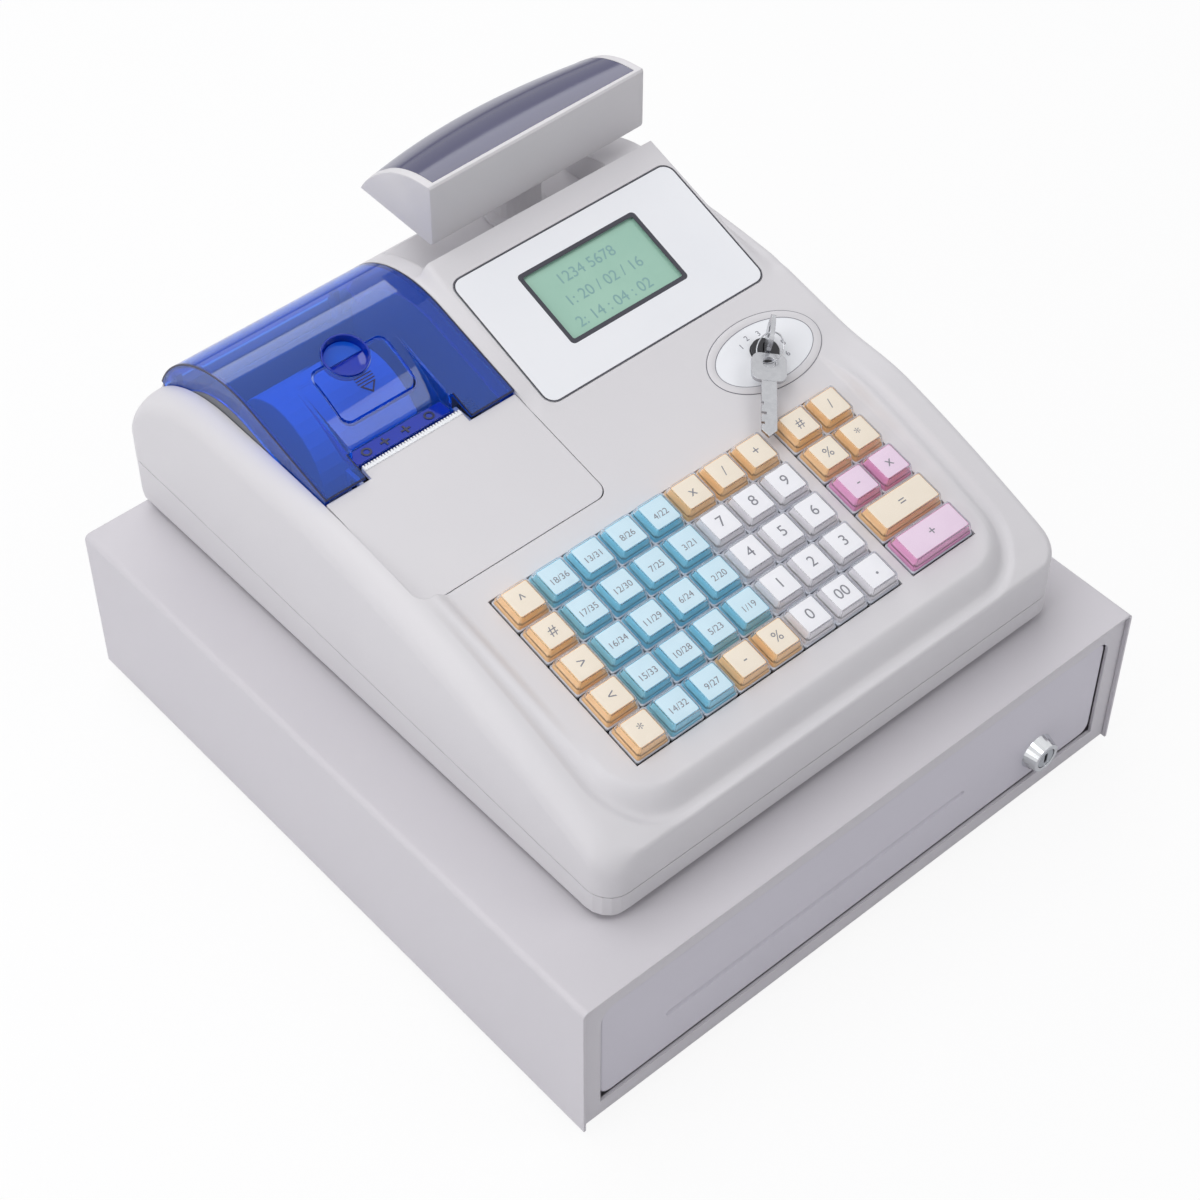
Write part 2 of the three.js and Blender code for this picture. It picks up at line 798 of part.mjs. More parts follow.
function ejectSpring() {
  const length = chassisBackY - trayBackY - 2 * fitGap - springWire;
  const steps = springTurns * springStepsPerTurn;
  const positions = [];
  const faces = [];
  const slope = length / (springTurns * 2 * Math.PI * springRadius);
  for (let i = 0; i <= steps; i += 1) {
    const angle = (i / springStepsPerTurn) * 2 * Math.PI;
    const radial = new THREE.Vector3(Math.cos(angle), 0, Math.sin(angle));
    const forward = new THREE.Vector3(-Math.sin(angle), slope, Math.cos(angle)).normalize();
    const across = new THREE.Vector3().crossVectors(forward, radial);
    const centre = radial.clone().multiplyScalar(springRadius).setY((i / steps) * length);
    for (let k = 0; k < springWireSides; k += 1) {
      const turn = (k / springWireSides) * 2 * Math.PI;
      const point = centre.clone()
        .addScaledVector(radial, (springWire / 2) * Math.cos(turn))
        .addScaledVector(across, (springWire / 2) * Math.sin(turn));
      positions.push(point.x, point.y, point.z);
    }
  }
  for (let i = 0; i < steps; i += 1) {
    for (let k = 0; k < springWireSides; k += 1) {
      const a = i * springWireSides + k;
      const b = i * springWireSides + ((k + 1) % springWireSides);
      faces.push(a, b, a + springWireSides, b, b + springWireSides, a + springWireSides);
    }
  }
  const last = steps * springWireSides;
  for (let k = 1; k < springWireSides - 1; k += 1) {
    faces.push(0, k + 1, k, last, last + k, last + k + 1);
  }
  const geometry = new THREE.BufferGeometry();
  geometry.setAttribute('position', new THREE.Float32BufferAttribute(positions, 3));
  geometry.setIndex(faces);
  geometry.computeVertexNormals();
  return geometry;
}

piece('latch_solenoid', latchSolenoid(), blackPlastic, cabinet);
piece('latch_hook', latchHook(), zincSteel, cabinet, [0, hookPivotY, hookPivotZ]);
piece('eject_spring', ejectSpring(), springSteel, cabinet, [
  springOffsetX, trayBackY + fitGap + springWire / 2, trayBottom + trayHeight / 2,
]);

// Register case: height of the moulded top over the cabinet, at any place in plan
const rimCurve = new THREE.SplineCurve(
  rimShares.map(([y, z]) => new THREE.Vector2(y * rimCrestY, z * rimHeight)),
);
const rimCurvePoints = rimCurve.getPoints(rimCurveSteps);
const rearBase = seamRearHeight + rearLip;
const rearRise = rimHeight - rearBase;

function rimHeightAt(y) {
  if (y > rimCrestY) {
    const share = Math.min((y - rimCrestY) / rearReach, 1);
    return rearBase + rearRise * Math.sqrt(1 - share * share);
  }
  const next = Math.max(rimCurvePoints.findIndex((point) => point.x >= y), 1);
  const [a, b] = [rimCurvePoints[next - 1], rimCurvePoints[next]];
  return mix(a.y, b.y, (y - a.x) / (b.x - a.x));
}

function deckHeightAt(y) {
  return keyEdgeHeight + (y - keyEdgeY) * Math.tan(deckTilt);
}

function browHeightAt(y) {
  return deckHeightAt(browStartY) + (y - browStartY) * Math.tan(browTilt);
}

const hoodTangentY = hoodArcCentreY - hoodRadius * Math.sin(hoodSlope);
const hoodTangentHeight = hoodArcCentreHeight + hoodRadius * Math.cos(hoodSlope);

function hoodHeightAt(y) {
  if (y < hoodTangentY) return hoodTangentHeight - (hoodTangentY - y) * Math.tan(hoodSlope);
  const reach = Math.min((y - hoodArcCentreY) / hoodRadius, 1);
  return hoodArcCentreHeight + hoodRadius * Math.sqrt(1 - reach * reach);
}

// Distance outside the plateau's rounded outline, zero or less inside it
function plateauDistance(x, y) {
  const halfX = (plateauRightX - plateauLeftX) / 2;
  const halfY = (plateauRearY - plateauFrontY) / 2;
  const beyondX = Math.abs(x - (plateauLeftX + plateauRightX) / 2) - halfX + plateauCorner;
  const beyondY = Math.abs(y - (plateauFrontY + plateauRearY) / 2) - halfY + plateauCorner;
  return Math.hypot(Math.max(beyondX, 0), Math.max(beyondY, 0)) - plateauCorner;
}

function coverHeightAt(x, y) {
  const rim = rimHeightAt(y);
  const deck = deckHeightAt(Math.min(y, browStartY));
  const plateau = 1 - smooth(0, plateauFillet, plateauDistance(x, y));
  const spread = x < printerRightX - caseWall ? 0 : smooth(spreadStartY, spreadEndY, y);
  const faded = 1 - smooth(browStartY, plateauRearY, y);
  const low = mix(rim, deck, Math.max(plateau, spread) * faded);
  if (y < browStartY) return low;
  const hood = y > browCrestY ? Math.max(hoodHeightAt(y), rim) : hoodHeightAt(y);
  const shoulder = mix(deck, hood, smooth(browStartY, hoodFrontY, y));
  const brow = mix(browHeightAt(Math.min(y, browCrestY)), hood, smooth(0, browBackFall, y - browCrestY));
  const raised = mix(shoulder, brow, smooth(printerRightX, browLeftX, x));
  const inPrinter = smooth(printerLeftX + openingStep, printerLeftX + 2 * openingStep, x);
  const height = mix(low, raised, inPrinter * (1 - smooth(browRightX, browRightX + browFlank, x)));
  const bay = smooth(bayLeftX, bayLeftX + bayFlank, x)
    * (1 - smooth(bayRightX - bayFlank, bayRightX, x))
    * smooth(bayStartY - bayFlank, bayStartY, y);
  return mix(height, Math.min(height, bayFloorHeight), bay);
}

function seamHeightAt(y) {
  return mix(seamFrontHeight, seamRearHeight, y / caseDepth);
}

// How far the rounded plan corners pull the side walls in, at any depth
function cornerInset(y, depthStart, depthEnd, front, rear) {
  const near = Math.min(y - depthStart, front);
  const far = Math.min(depthEnd - y, rear);
  const frontInset = front - Math.sqrt(Math.max(front * front - (front - near) ** 2, 0));
  const rearInset = rear - Math.sqrt(Math.max(rear * rear - (rear - far) ** 2, 0));
  return Math.max(frontInset, rearInset);
}

// One closed section of the case at depth y: up the left wall, over the top, down the right
function caseSection(y, inward, across, bottom) {
  const inset = cornerInset(
    y, inward, caseDepth - inward, caseFrontCorner - inward, caseRearCorner - inward,
  ) + inward;
  const left = caseLeftX + inset;
  const right = caseRightX - inset;
  const heightAt = (x) => {
    if (!inward) return coverHeightAt(x, y);
    const around = [-inward, 0, inward];
    return Math.min(...around.flatMap((dx) => around.map((dy) => coverHeightAt(
      x + dx, THREE.MathUtils.clamp(y + dy, 0, caseDepth),
    )))) - inward;
  };
  const room = (heightAt(left) - bottom) * edgeRoomShare;
  const leftRadius = Math.min(leftEdgeRadius - inward, room);
  const rightRadius = Math.min(rightEdgeRadius - inward, room);
  const ring = [[left, bottom]];
  for (let i = 0; i < edgeSteps; i += 1) {
    const angle = (i / edgeSteps) * (Math.PI / 2);
    const x = left + leftRadius * (1 - Math.cos(angle));
    ring.push([x, heightAt(x) - leftRadius * (1 - Math.sin(angle))]);
  }
  const first = across[0];
  const span = across[across.length - 1] - first;
  for (const sample of across) {
    const x = mix(left + leftRadius, right - rightRadius, (sample - first) / span);
    ring.push([x, heightAt(x)]);
  }
  for (let i = edgeSteps - 1; i >= 0; i -= 1) {
    const angle = (i / edgeSteps) * (Math.PI / 2);
    const x = right - rightRadius * (1 - Math.cos(angle));
    ring.push([x, heightAt(x) - rightRadius * (1 - Math.sin(angle))]);
  }
  ring.push([right, bottom]);
  return ring.map(([x, z]) => [x, y, z]);
}

// Skin over equal closed sections, with flat ends
function loft(sections) {
  const count = sections[0].length;
  const last = (sections.length - 1) * count;
  const faces = [];
  for (let s = 0; s < last; s += count) {
    for (let k = 0; k < count; k += 1) {
      const a = s + k;
      const b = s + ((k + 1) % count);
      faces.push(a, b, a + count, b, b + count, a + count);
    }
  }
  const flat = (section) => section.map(([x, , z]) => new THREE.Vector2(x, z));
  for (const [a, b, c] of THREE.ShapeUtils.triangulateShape(flat(sections[0]), [])) {
    faces.push(a, b, c);
  }
  for (const [a, b, c] of THREE.ShapeUtils.triangulateShape(flat(sections[sections.length - 1]), [])) {
    faces.push(last + a, last + c, last + b);
  }
  const geometry = new THREE.BufferGeometry();
  geometry.setAttribute('position', new THREE.Float32BufferAttribute(sections.flat(2), 3));
  geometry.setIndex(faces);
  return geometry;
}

// Places on the case where the surface bends, so that the skin has its points there
function between(start, end, count) {
  return Array.from({ length: count }, (_, i) => mix(start, end, i / (count - 1)));
}

function sorted(values) {
  return [...new Set(values)].sort((a, b) => a - b)
    .filter((value, index, all) => index === 0 || value - all[index - 1] > leastStep);
}

const register = new THREE.Group();
register.position.set(caseCentreX, caseSetBack, footHeight + cabinetHeight);
const deck = new THREE.Group();
deck.position.set(0, keyEdgeY, keyEdgeHeight);
deck.rotation.x = deckTilt;
deck.updateMatrix();
const brow = new THREE.Group();
brow.position.set(0, browStartY, deckHeightAt(browStartY));
brow.rotation.x = browTilt;
brow.updateMatrix();
register.add(deck, brow);

const hoodPivotRadius = hoodRadius - hoodWall / 2;
const pivotY = hoodArcCentreY + hoodPivotRadius * Math.cos(hoodPivotAngle);
const pivotHeight = hoodArcCentreHeight + hoodPivotRadius * Math.sin(hoodPivotAngle);
const printerRearY = pivotY + hoodBarrelRadius + 2 * lineGap;
const blockRightX = keyBlockLeftX + keyColumns * keyPitch;
const padRightX = padLeftX + padColumns * keyPitch;
const keyFieldLength = keyRows * keyPitch;
const keyFields = [[keyBlockLeftX, blockRightX], [padLeftX, padRightX]];

function keyWells(grow, from, to) {
  return keyFields.map(([left, right]) => block(
    left - grow, right + grow, -grow, keyFieldLength + grow, from, to,
  ).applyMatrix4(deck.matrix));
}

function oval(halfX, halfY, from, to) {
  const outline = circle(0, 0, 1, ovalSides).map(([x, y]) => [
    modeCentreX + x * halfX, modeCentreAlong + y * halfY,
  ]);
  return alongZ(outline, from, to);
}

function registerCover() {
  const leftEnd = caseLeftX + leftEdgeRadius;
  const rightEnd = caseRightX - rightEdgeRadius;
  const across = sorted([
    leftEnd, ...between(printerLeftX + openingStep, printerLeftX + 2 * openingStep, 2),
    ...between(plateauLeftX - plateauFillet, plateauLeftX, 5),
    ...between(plateauLeftX, plateauLeftX + plateauCorner, 4), ...between(printerRightX, browLeftX, 5),
    bayLeftX, bayLeftX + bayFlank, ...between(plateauRightX - plateauCorner, plateauRightX, 4),
    ...between(plateauRightX, plateauRightX + plateauFillet, 5), bayRightX - bayFlank, bayRightX,
    ...between(browRightX, browRightX + browFlank, 5), rightEnd,
  ]);
  const innerAcross = sorted([
    leftEnd, plateauLeftX - plateauFillet, plateauLeftX, plateauLeftX + plateauCorner,
    printerRightX, browLeftX, bayLeftX - caseWall, bayLeftX + bayFlank, plateauRightX - plateauCorner,
    bayRightX - bayFlank, bayRightX + caseWall, plateauRightX, plateauRightX + plateauFillet,
    browRightX - caseWall, browRightX + browFlank, rightEnd,
  ]);
  const rimDepths = rimShares.map(([share]) => share * rimCrestY);
  const along = sorted([
    ...rimDepths, ...between(0, caseFrontCorner, 6),
    ...between(plateauFrontY - plateauFillet, plateauFrontY, 5),
    ...between(plateauFrontY, plateauFrontY + plateauCorner, 4), ...between(spreadStartY, spreadEndY, 4),
    ...between(browStartY, plateauRearY, 3), hoodFrontY, hoodTangentY, browCrestY,
    ...between(bayStartY - bayFlank, bayStartY, 3), browCrestY + browBackFall,
    ...rearShares.map((share) => mix(rimCrestY, caseDepth, share)),
  ]);
  const innerAlong = sorted([
    caseWall, ...rimDepths.filter((y) => y > caseWall && y < rimCrestY), plateauFrontY,
    plateauFrontY + plateauCorner, browStartY, plateauRearY, browCrestY - caseWall,
    bayStartY - bayFlank - caseWall,
    ...rearShares.map((share) => mix(rimCrestY, caseDepth - caseWall, share)),
  ]);
  const outer = loft(along.map((y) => caseSection(y, 0, across, seamHeightAt(y) + seamGap / 2)));
  const inner = loft(innerAlong.map((y) => caseSection(
    y, caseWall, innerAcross, seamHeightAt(y) - cutOverrun,
  )));
  const deep = caseWall + cutOverrun;
  const opening = alongZ(roundedRectangle(
    printerLeftX, printerRightX, printerFrontY, printerRearY, [printerCorner, printerCorner, 0, 0],
  ), seamRearHeight, rimHeight + podHeight);
  const windowSeat = alongZ(roundedRectangle(
    windowLeftX - fitGap, windowLeftX + windowWidth + fitGap, -fitGap, windowLength + fitGap, windowCorner,
  ), -windowRecess, cutOverrun).applyMatrix4(brow.matrix);
  const lcdHole = block(
    lcdLeftX - fitGap, lcdLeftX + lcdWidth + fitGap, lcdStart - fitGap, lcdStart + lcdLength + fitGap,
    -deep, deep,
  ).applyMatrix4(brow.matrix);
  const plateSeat = oval(modeHalfWidth + fitGap, modeHalfLength + fitGap, -modePlateRecess, cutOverrun)
    .applyMatrix4(deck.matrix);
  const lockHole = bar('z', modeBarrelRadius + fitGap, 2 * deep, [modeCentreX, modeCentreAlong, -deep])
    .applyMatrix4(deck.matrix);
  const mastHole = bar(
    'z', mastRadius - mastWall, 2 * deep, [podCentreX, mastY, bayFloorHeight - deep],
  );
  const shell = cut(outer, inner);
  const skirted = join(shell, ...keyWells(wellMargin + wellWall, -wellDepth, -caseWall / 2));
  return cut(
    skirted, ...keyWells(wellMargin, -wellDepth - cutOverrun, cutOverrun), opening,
    windowSeat, lcdHole, plateSeat, lockHole, mastHole,
  );
}

piece('register_cover', registerCover(), warmGreyCase, register);

// Base tray under the cover, with moulded feet and posts for the printer
const tubLeftX = printerLeftX + fitGap;
const tubRightX = printerRightX - fitGap;
const tubRimRadius = hoodRadius - tubRimDrop - fitGap;
const tubRearY = hoodArcCentreY + tubRimRadius;
const tubFloorTop = tubFloorHeight + tubWall;
const baseFloorTop = caseFootHeight + caseWall;

function caseOutline(inward) {
  return roundedRectangle(
    caseLeftX + inward, caseRightX - inward, inward, caseDepth - inward,
    [caseFrontCorner - inward, caseFrontCorner - inward, caseRearCorner - inward, caseRearCorner - inward],
  );
}

function registerBase() {
  const drop = seamGap / 2;
  const sideProfile = (inward) => [
    [inward, caseFootHeight + baseBevel + inward], [baseBevel + inward, caseFootHeight + inward],
    [caseDepth - rearTuck - inward, caseFootHeight + inward],
    [caseDepth - rearTuck * tuckShare - inward, mix(caseFootHeight, seamRearHeight, tuckShare)],
    [caseDepth - inward, seamRearHeight - drop + (inward ? cutOverrun : 0)],
    [inward, seamFrontHeight - drop + (inward ? cutOverrun : 0)],
  ];
  const solid = common(
    alongX(sideProfile(0), caseLeftX, caseRightX), alongZ(caseOutline(0), 0, rimHeight),
  );
  const hollow = common(
    alongX(sideProfile(caseWall), caseLeftX + caseWall, caseRightX - caseWall),
    alongZ(caseOutline(caseWall), 0, rimHeight),
  );
  const feet = [caseLeftX + caseFootInset, caseRightX - caseFootInset].flatMap((x) => (
    [caseFootInset, caseDepth - caseFootInset - rearTuck].map((y) => bar(
      'z', caseFootRadius, caseFootHeight + caseWall / 2, [x, y, 0],
    ))
  ));
  const posts = [printerLeftX + postInset, printerRightX - postInset].flatMap((x) => (
    [printerFrontY + postInset, tubRearY - postInset].map((y) => bar(
      'z', postRadius, tubFloorHeight - baseFloorTop + caseWall / 2,
      [x, y, baseFloorTop - caseWall / 2], smallSides,
    ))
  ));
  return join(cut(solid, hollow), ...feet, ...posts);
}

// Keys: each is a coloured body under a clear cap, moulded here as one stepped block
function keyBody(columns, rows) {
  const halfX = (columns * keyPitch - keyGap) / 2;
  const halfY = (rows * keyPitch - keyGap) / 2;
  const levels = [
    [0, -keySkirtDrop], [0, keyBandHeight - keySkirtDrop], [keyTopInset, keyTopRise],
  ];
  const sections = levels.map(([inset, z]) => [
    [-halfX + inset, halfY - inset, z], [-halfX + inset, -halfY + inset, z],
    [halfX - inset, -halfY + inset, z], [halfX - inset, halfY - inset, z],
  ]);
  const positions = sections.flat(2);
  const faces = [0, 2, 1, 0, 3, 2];
  const corners = sections[0].length;
  for (let level = 1; level < levels.length; level += 1) {
    for (let k = 0; k < corners; k += 1) {
      const a = (level - 1) * corners + k;
      const b = (level - 1) * corners + ((k + 1) % corners);
      faces.push(a, b, a + corners, b, b + corners, a + corners);
    }
  }
  const top = (levels.length - 1) * corners;
  faces.push(top, top + 1, top + 2, top, top + 2, top + 3);
  const geometry = new THREE.BufferGeometry();
  geometry.setAttribute('position', new THREE.Float32BufferAttribute(positions, 3));
  geometry.setIndex(faces);
  return geometry;
}

function keyStem(length) {
  const half = stemSide / 2;
  return block(-half, half, -half, half, -keySkirtDrop - length, -keySkirtDrop + keyBandHeight / 2);
}

function keyPlace(leftX, column, row) {
  return [leftX + (column + 0.5) * keyPitch, (row + 0.5) * keyPitch, 0];
}

const plateTop = -wellDepth - fitGap;

function keyPlate() {
  const plate = block(
    keyBlockLeftX - plateMargin, padRightX + plateMargin, -plateMargin, keyFieldLength + plateMargin,
    plateTop - plateThickness, plateTop,
  );
  const holes = movingKeys.map(({ place }) => block(
    place[0] - stemSide / 2 - fitGap, place[0] + stemSide / 2 + fitGap,
    place[1] - stemSide / 2 - fitGap, place[1] + stemSide / 2 + fitGap,
    plateTop - 2 * plateThickness, plateTop + plateThickness,
  ));
  const reach = -plateTop - keySkirtDrop + cellOverlap;
  const fixed = fixedKeys.flatMap((place) => [
    keyBody(1, 1).translate(...place), keyStem(reach).translate(...place),
  ]);
  return cut(join(plate, ...fixed), ...holes);
}

// Number keys fill the four right-hand columns of the main block, front to back
const numberKeys = [
  ['key_0', 5, 0], ['key_00', 6, 0], ['key_point', 7, 0],
  ['key_1', 5, 1], ['key_2', 6, 1], ['key_3', 7, 1],
  ['key_4', 5, 2], ['key_5', 6, 2], ['key_6', 7, 2],
  ['key_7', 5, 3], ['key_8', 6, 3], ['key_9', 7, 3],
];
const padKeys = [
  ['key_pad_pink_wide', 0, 0, 2, 'pink'], ['key_pad_cream_wide', 0, 1, 2, 'cream'],
  ['key_pad_pink_left', 0, 2, 1, 'pink'], ['key_pad_pink_right', 1, 2, 1, 'pink'],
  ['key_pad_cream_left_1', 0, 3, 1, 'cream'], ['key_pad_cream_right_1', 1, 3, 1, 'cream'],
  ['key_pad_cream_left_2', 0, 4, 1, 'cream'], ['key_pad_cream_right_2', 1, 4, 1, 'cream'],
];
const movingKeys = [
  ...numberKeys.map(([name, column, row]) => ({
    name, columns: 1, colour: 'white', place: keyPlace(keyBlockLeftX, column, row),
  })),
  ...padKeys.map(([name, column, row, columns, colour]) => ({
    name, columns, colour, place: keyPlace(padLeftX, column + (columns - 1) / 2, row),
  })),
];
const fixedKeys = [];
for (let row = 0; row < keyRows; row += 1) {
  for (let column = 0; column < keyColumns; column += 1) {
    const taken = numberKeys.some(([, c, r]) => c === column && r === row);
    if (!taken) fixedKeys.push(keyPlace(keyBlockLeftX, column, row));
  }
}

// Printer tub: drop-in bowl with roll cradle and hinge ears, ending under the hood

function hoodLine(inward, toAngle, steps) {
  const start = Math.PI / 2 + hoodSlope;
  const arc = Array.from({ length: steps + 1 }, (_, i) => {
    const angle = mix(start, toAngle, i / steps);
    return [
      hoodArcCentreY + (hoodRadius - inward) * Math.cos(angle),
      hoodArcCentreHeight + (hoodRadius - inward) * Math.sin(angle),
    ];
  });
  const front = hoodFrontY + inward * Math.sin(hoodSlope);
  const [firstY, firstZ] = arc[0];
  return [[front, firstZ - (firstY - front) * Math.tan(hoodSlope)], ...arc];
}

function printerTub() {
  const [, rimFrontHeight] = hoodLine(tubRimDrop + fitGap, 0, 1)[0];
  const frontY = printerFrontY + fitGap;
  const panelUnder = (y) => deckHeightAt(y) - panelThickness / Math.cos(deckTilt) - fitGap;
  const rim = hoodLine(tubRimDrop + fitGap, 0, hoodArcSteps).filter(([y]) => y > hoodFrontY + tubWall);
  const stepZ = rimFrontHeight;
  const outline = [
    [frontY, tubFloorHeight], [tubRearY, tubFloorHeight], ...rim.reverse(),
    [hoodFrontY, stepZ], [hoodFrontY, panelUnder(hoodFrontY)], [frontY, panelUnder(frontY)],
  ];
  const solid = common(
    alongX(outline, tubLeftX, tubRightX),
    alongZ(roundedRectangle(
      tubLeftX, tubRightX, frontY, tubRearY, [printerCorner, printerCorner, 0, 0],
    ), 0, rimHeight + podHeight),
  );
  const hollow = block(
    tubLeftX + tubWall, tubRightX - tubWall, frontY + tubWall, tubRearY - tubWall,
    tubFloorTop, rimHeight + podHeight,
  );
  const halfPaper = paperWidth / 2 + fitGap;
  const cheeks = [-1, 1].flatMap((side) => {
    const inner = paperCentreX + side * halfPaper;
    const outer = inner + side * cradleWall;
    const [x0, x1] = [Math.min(inner, outer), Math.max(inner, outer)];
    const stubStart = side > 0 ? inner - cradleStub : inner - fitGap;
    return [
      alongX([
        [rollY - cheekReach, tubFloorHeight + tubWall / 2],
        [rollY + cheekReach, tubFloorHeight + tubWall / 2],
        [rollY + rollCoreRadius, rollHeight + rollCoreRadius],
        [rollY - rollCoreRadius, rollHeight + rollCoreRadius],
      ], x0, x1),
      bar('x', rollCoreRadius - fitGap, cradleStub + fitGap, [stubStart, rollY, rollHeight], roundSides),
    ];
  });
  const ears = earPlaces.map((x) => hingeEar(x));
  const holes = earPlaces.map((x) => bar(
    'x', hoodPinRadius + fitGap, earWidth + 2 * cutOverrun, [x - cutOverrun, pivotY, pivotHeight], smallSides,
  ));
  const line = hoodLine(hoodSideDrop + fitGap, hoodPivotAngle, hoodArcSteps);
  const [lineY, lineZ] = line[0];
  const top = hoodLine(0, hoodPivotAngle, hoodArcSteps).reverse();
  const frontZ = lineZ - (lineY - hoodFrontY) * Math.tan(hoodSlope);
  const skirtReach = hoodWall + fitGap;
  const skirtRooms = [tubLeftX - cutOverrun, hoodRightX - skirtReach].map((x) => alongX(
    [[hoodFrontY, frontZ], ...line, ...top], x, x + skirtReach + cutOverrun,
  ));
  return cut(join(cut(solid, hollow), ...cheeks, ...ears), ...holes, ...skirtRooms);
}

const hoodLeftX = printerLeftX + lineGap;
const hoodRightX = printerRightX - lineGap;
const earPlaces = [hoodLeftX + hoodWall + earInset, hoodRightX - hoodWall - earInset - earWidth];

function hingeEar(x) {
  const reach = hoodBarrelRadius + fitGap;
  return alongX([
    [tubRearY - tubWall, rollHeight - earDrop], [tubRearY, rollHeight - earDrop],
    [pivotY + reach, pivotHeight - reach], [pivotY + reach, pivotHeight + reach - 2 * fitGap],
    [pivotY - reach, pivotHeight + reach - 2 * fitGap], [tubRearY - tubWall - fitGap, rollHeight],
    [tubRearY - tubWall - fitGap, rollHeight - earDrop + fitGap],
  ], x, x + earWidth);
}

// Hood: a bent clear sheet with side skirts, a notch for the tear bar and a hinge barrel
const hoodFrame = new THREE.Matrix4().makeRotationX(hoodSlope)
  .setPosition(0, hoodFrontY, hoodHeightAt(hoodFrontY));
const latchStart = (latchFrontY - hoodFrontY) / Math.cos(hoodSlope);

function latchPlate(grow, from, to) {
  return alongZ(roundedRectangle(
    latchLeftX - grow, latchLeftX + latchWidth + grow, latchStart - grow, latchStart + latchLength + grow,
    latchCorner + grow,
  ), from, to);
}

// Ramp sunk behind the tear bar: the slope less a drop that grows with the square of the way, then a ledge
function rampHeightAt(y) {
  const at = Math.max(y, rampFrontY);
  const share = Math.max((rampRearY - at) / (rampRearY - rampFrontY), 0);
  return hoodHeightAt(at) - rampDrop * share * share;
}

function rampLine(frontY, rearY) {
  const bend = Array.from({ length: rampSteps + 1 }, (_, i) => mix(rampFrontY, rearY, i / rampSteps));
  return [frontY, ...bend].filter((y) => y >= frontY).map((y) => [y, rampHeightAt(y)]);
}

function lowered(line, drop) {
  return line.map(([y, z]) => [y, z - drop]);
}

function rampSheet(left, right, rearY, drop) {
  const top = lowered(rampLine(ledgeFrontY, rearY), drop);
  return alongX([...lowered(top, hoodWall), ...top.reverse()], left, right);
}

function printerHood() {
  const outer = hoodLine(0, hoodPivotAngle, hoodArcSteps);
  const under = hoodLine(hoodWall, hoodPivotAngle, hoodArcSteps);
  const shell = alongX([...under, ...[...outer].reverse()], hoodLeftX, hoodRightX);
  const skirtLine = hoodLine(hoodSideDrop, hoodPivotAngle, hoodArcSteps);
  const skirts = [hoodLeftX, hoodRightX - hoodWall].map((x) => alongX(
    [...skirtLine, ...[...outer].reverse()], x, x + hoodWall,
  ));
  const barrelLeft = earPlaces[0] + earWidth + fitGap;
  const barrelRight = earPlaces[1] - fitGap;
  const barrel = bar(
    'x', hoodBarrelRadius, barrelRight - barrelLeft, [barrelLeft, pivotY, pivotHeight], smallSides,
  );
  const pins = bar(
    'x', hoodPinRadius, barrelRight - barrelLeft + 2 * (earWidth + fitGap),
    [barrelLeft - earWidth - fitGap, pivotY, pivotHeight], smallSides,
  );
  const reliefs = earPlaces.map((x) => bar(
    'x', earRelief, earWidth + 2 * fitGap, [x - fitGap, pivotY, pivotHeight], roundSides,
  ));
  const notch = alongZ(roundedRectangle(
    notchLeftX, notchRightX, hoodFrontY - cutOverrun, notchRearY, [0, 0, hoodWall, hoodWall],
  ), 0, rimHeight + podHeight);
  const rampRoom = block(
    rampLeftX, rampRightX, hoodFrontY - cutOverrun, rampRearY - hoodWall,
    hoodArcCentreHeight, rimHeight + podHeight,
  );
  const wallLine = rampLine(notchRearY, rampRearY);
  const wallTop = wallLine.map(([y]) => [y, hoodHeightAt(y)]);
  const rampWalls = [rampLeftX - hoodWall, rampRightX].map((x) => alongX(
    [...lowered(wallLine, hoodWall), ...[...wallTop].reverse()], x, x + hoodWall,
  ));
  const ramp = rampSheet(rampLeftX - hoodWall / 2, rampRightX + hoodWall / 2, rampRearY, 0);
  const window = latchPlate(lineGap, -rampDrop - 2 * hoodWall, hoodWall).applyMatrix4(hoodFrame);
  const sheetBody = cut(join(shell, ...skirts), ...reliefs, notch, rampRoom);
  return join(cut(join(sheetBody, ...rampWalls, ramp), window), barrel, pins);
}

function hoodLatch() {
  const flangeDrop = hoodWall + fitGap;
  const deep = -rampDrop - 2 * (hoodWall + flangeDrop);
  const rearY = latchFrontY + latchLength;
  const follow = (drop, grow) => common(
    rampSheet(rampLeftX, rampRightX, rearY, drop),
    latchPlate(grow, deep, hoodWall).applyMatrix4(hoodFrame),
  );
  const leg = block(
    latchLeftX + latchCorner, latchLeftX + latchWidth - latchCorner,
    latchStart + latchCorner, latchStart + latchCorner + hoodWall, -latchLegDrop, 0,
  ).applyMatrix4(hoodFrame);
  const beneath = lowered(rampLine(ledgeFrontY, rearY), flangeDrop + hoodWall / 2);
  const room = alongX(
    [[ledgeFrontY, hoodArcCentreHeight], [rearY, hoodArcCentreHeight], ...beneath.reverse()],
    rampLeftX, rampRightX,
  );
  const plate = join(follow(0, 0), follow(hoodWall / 2, 0), follow(flangeDrop, latchFlange));
  return join(plate, common(leg, room));
}

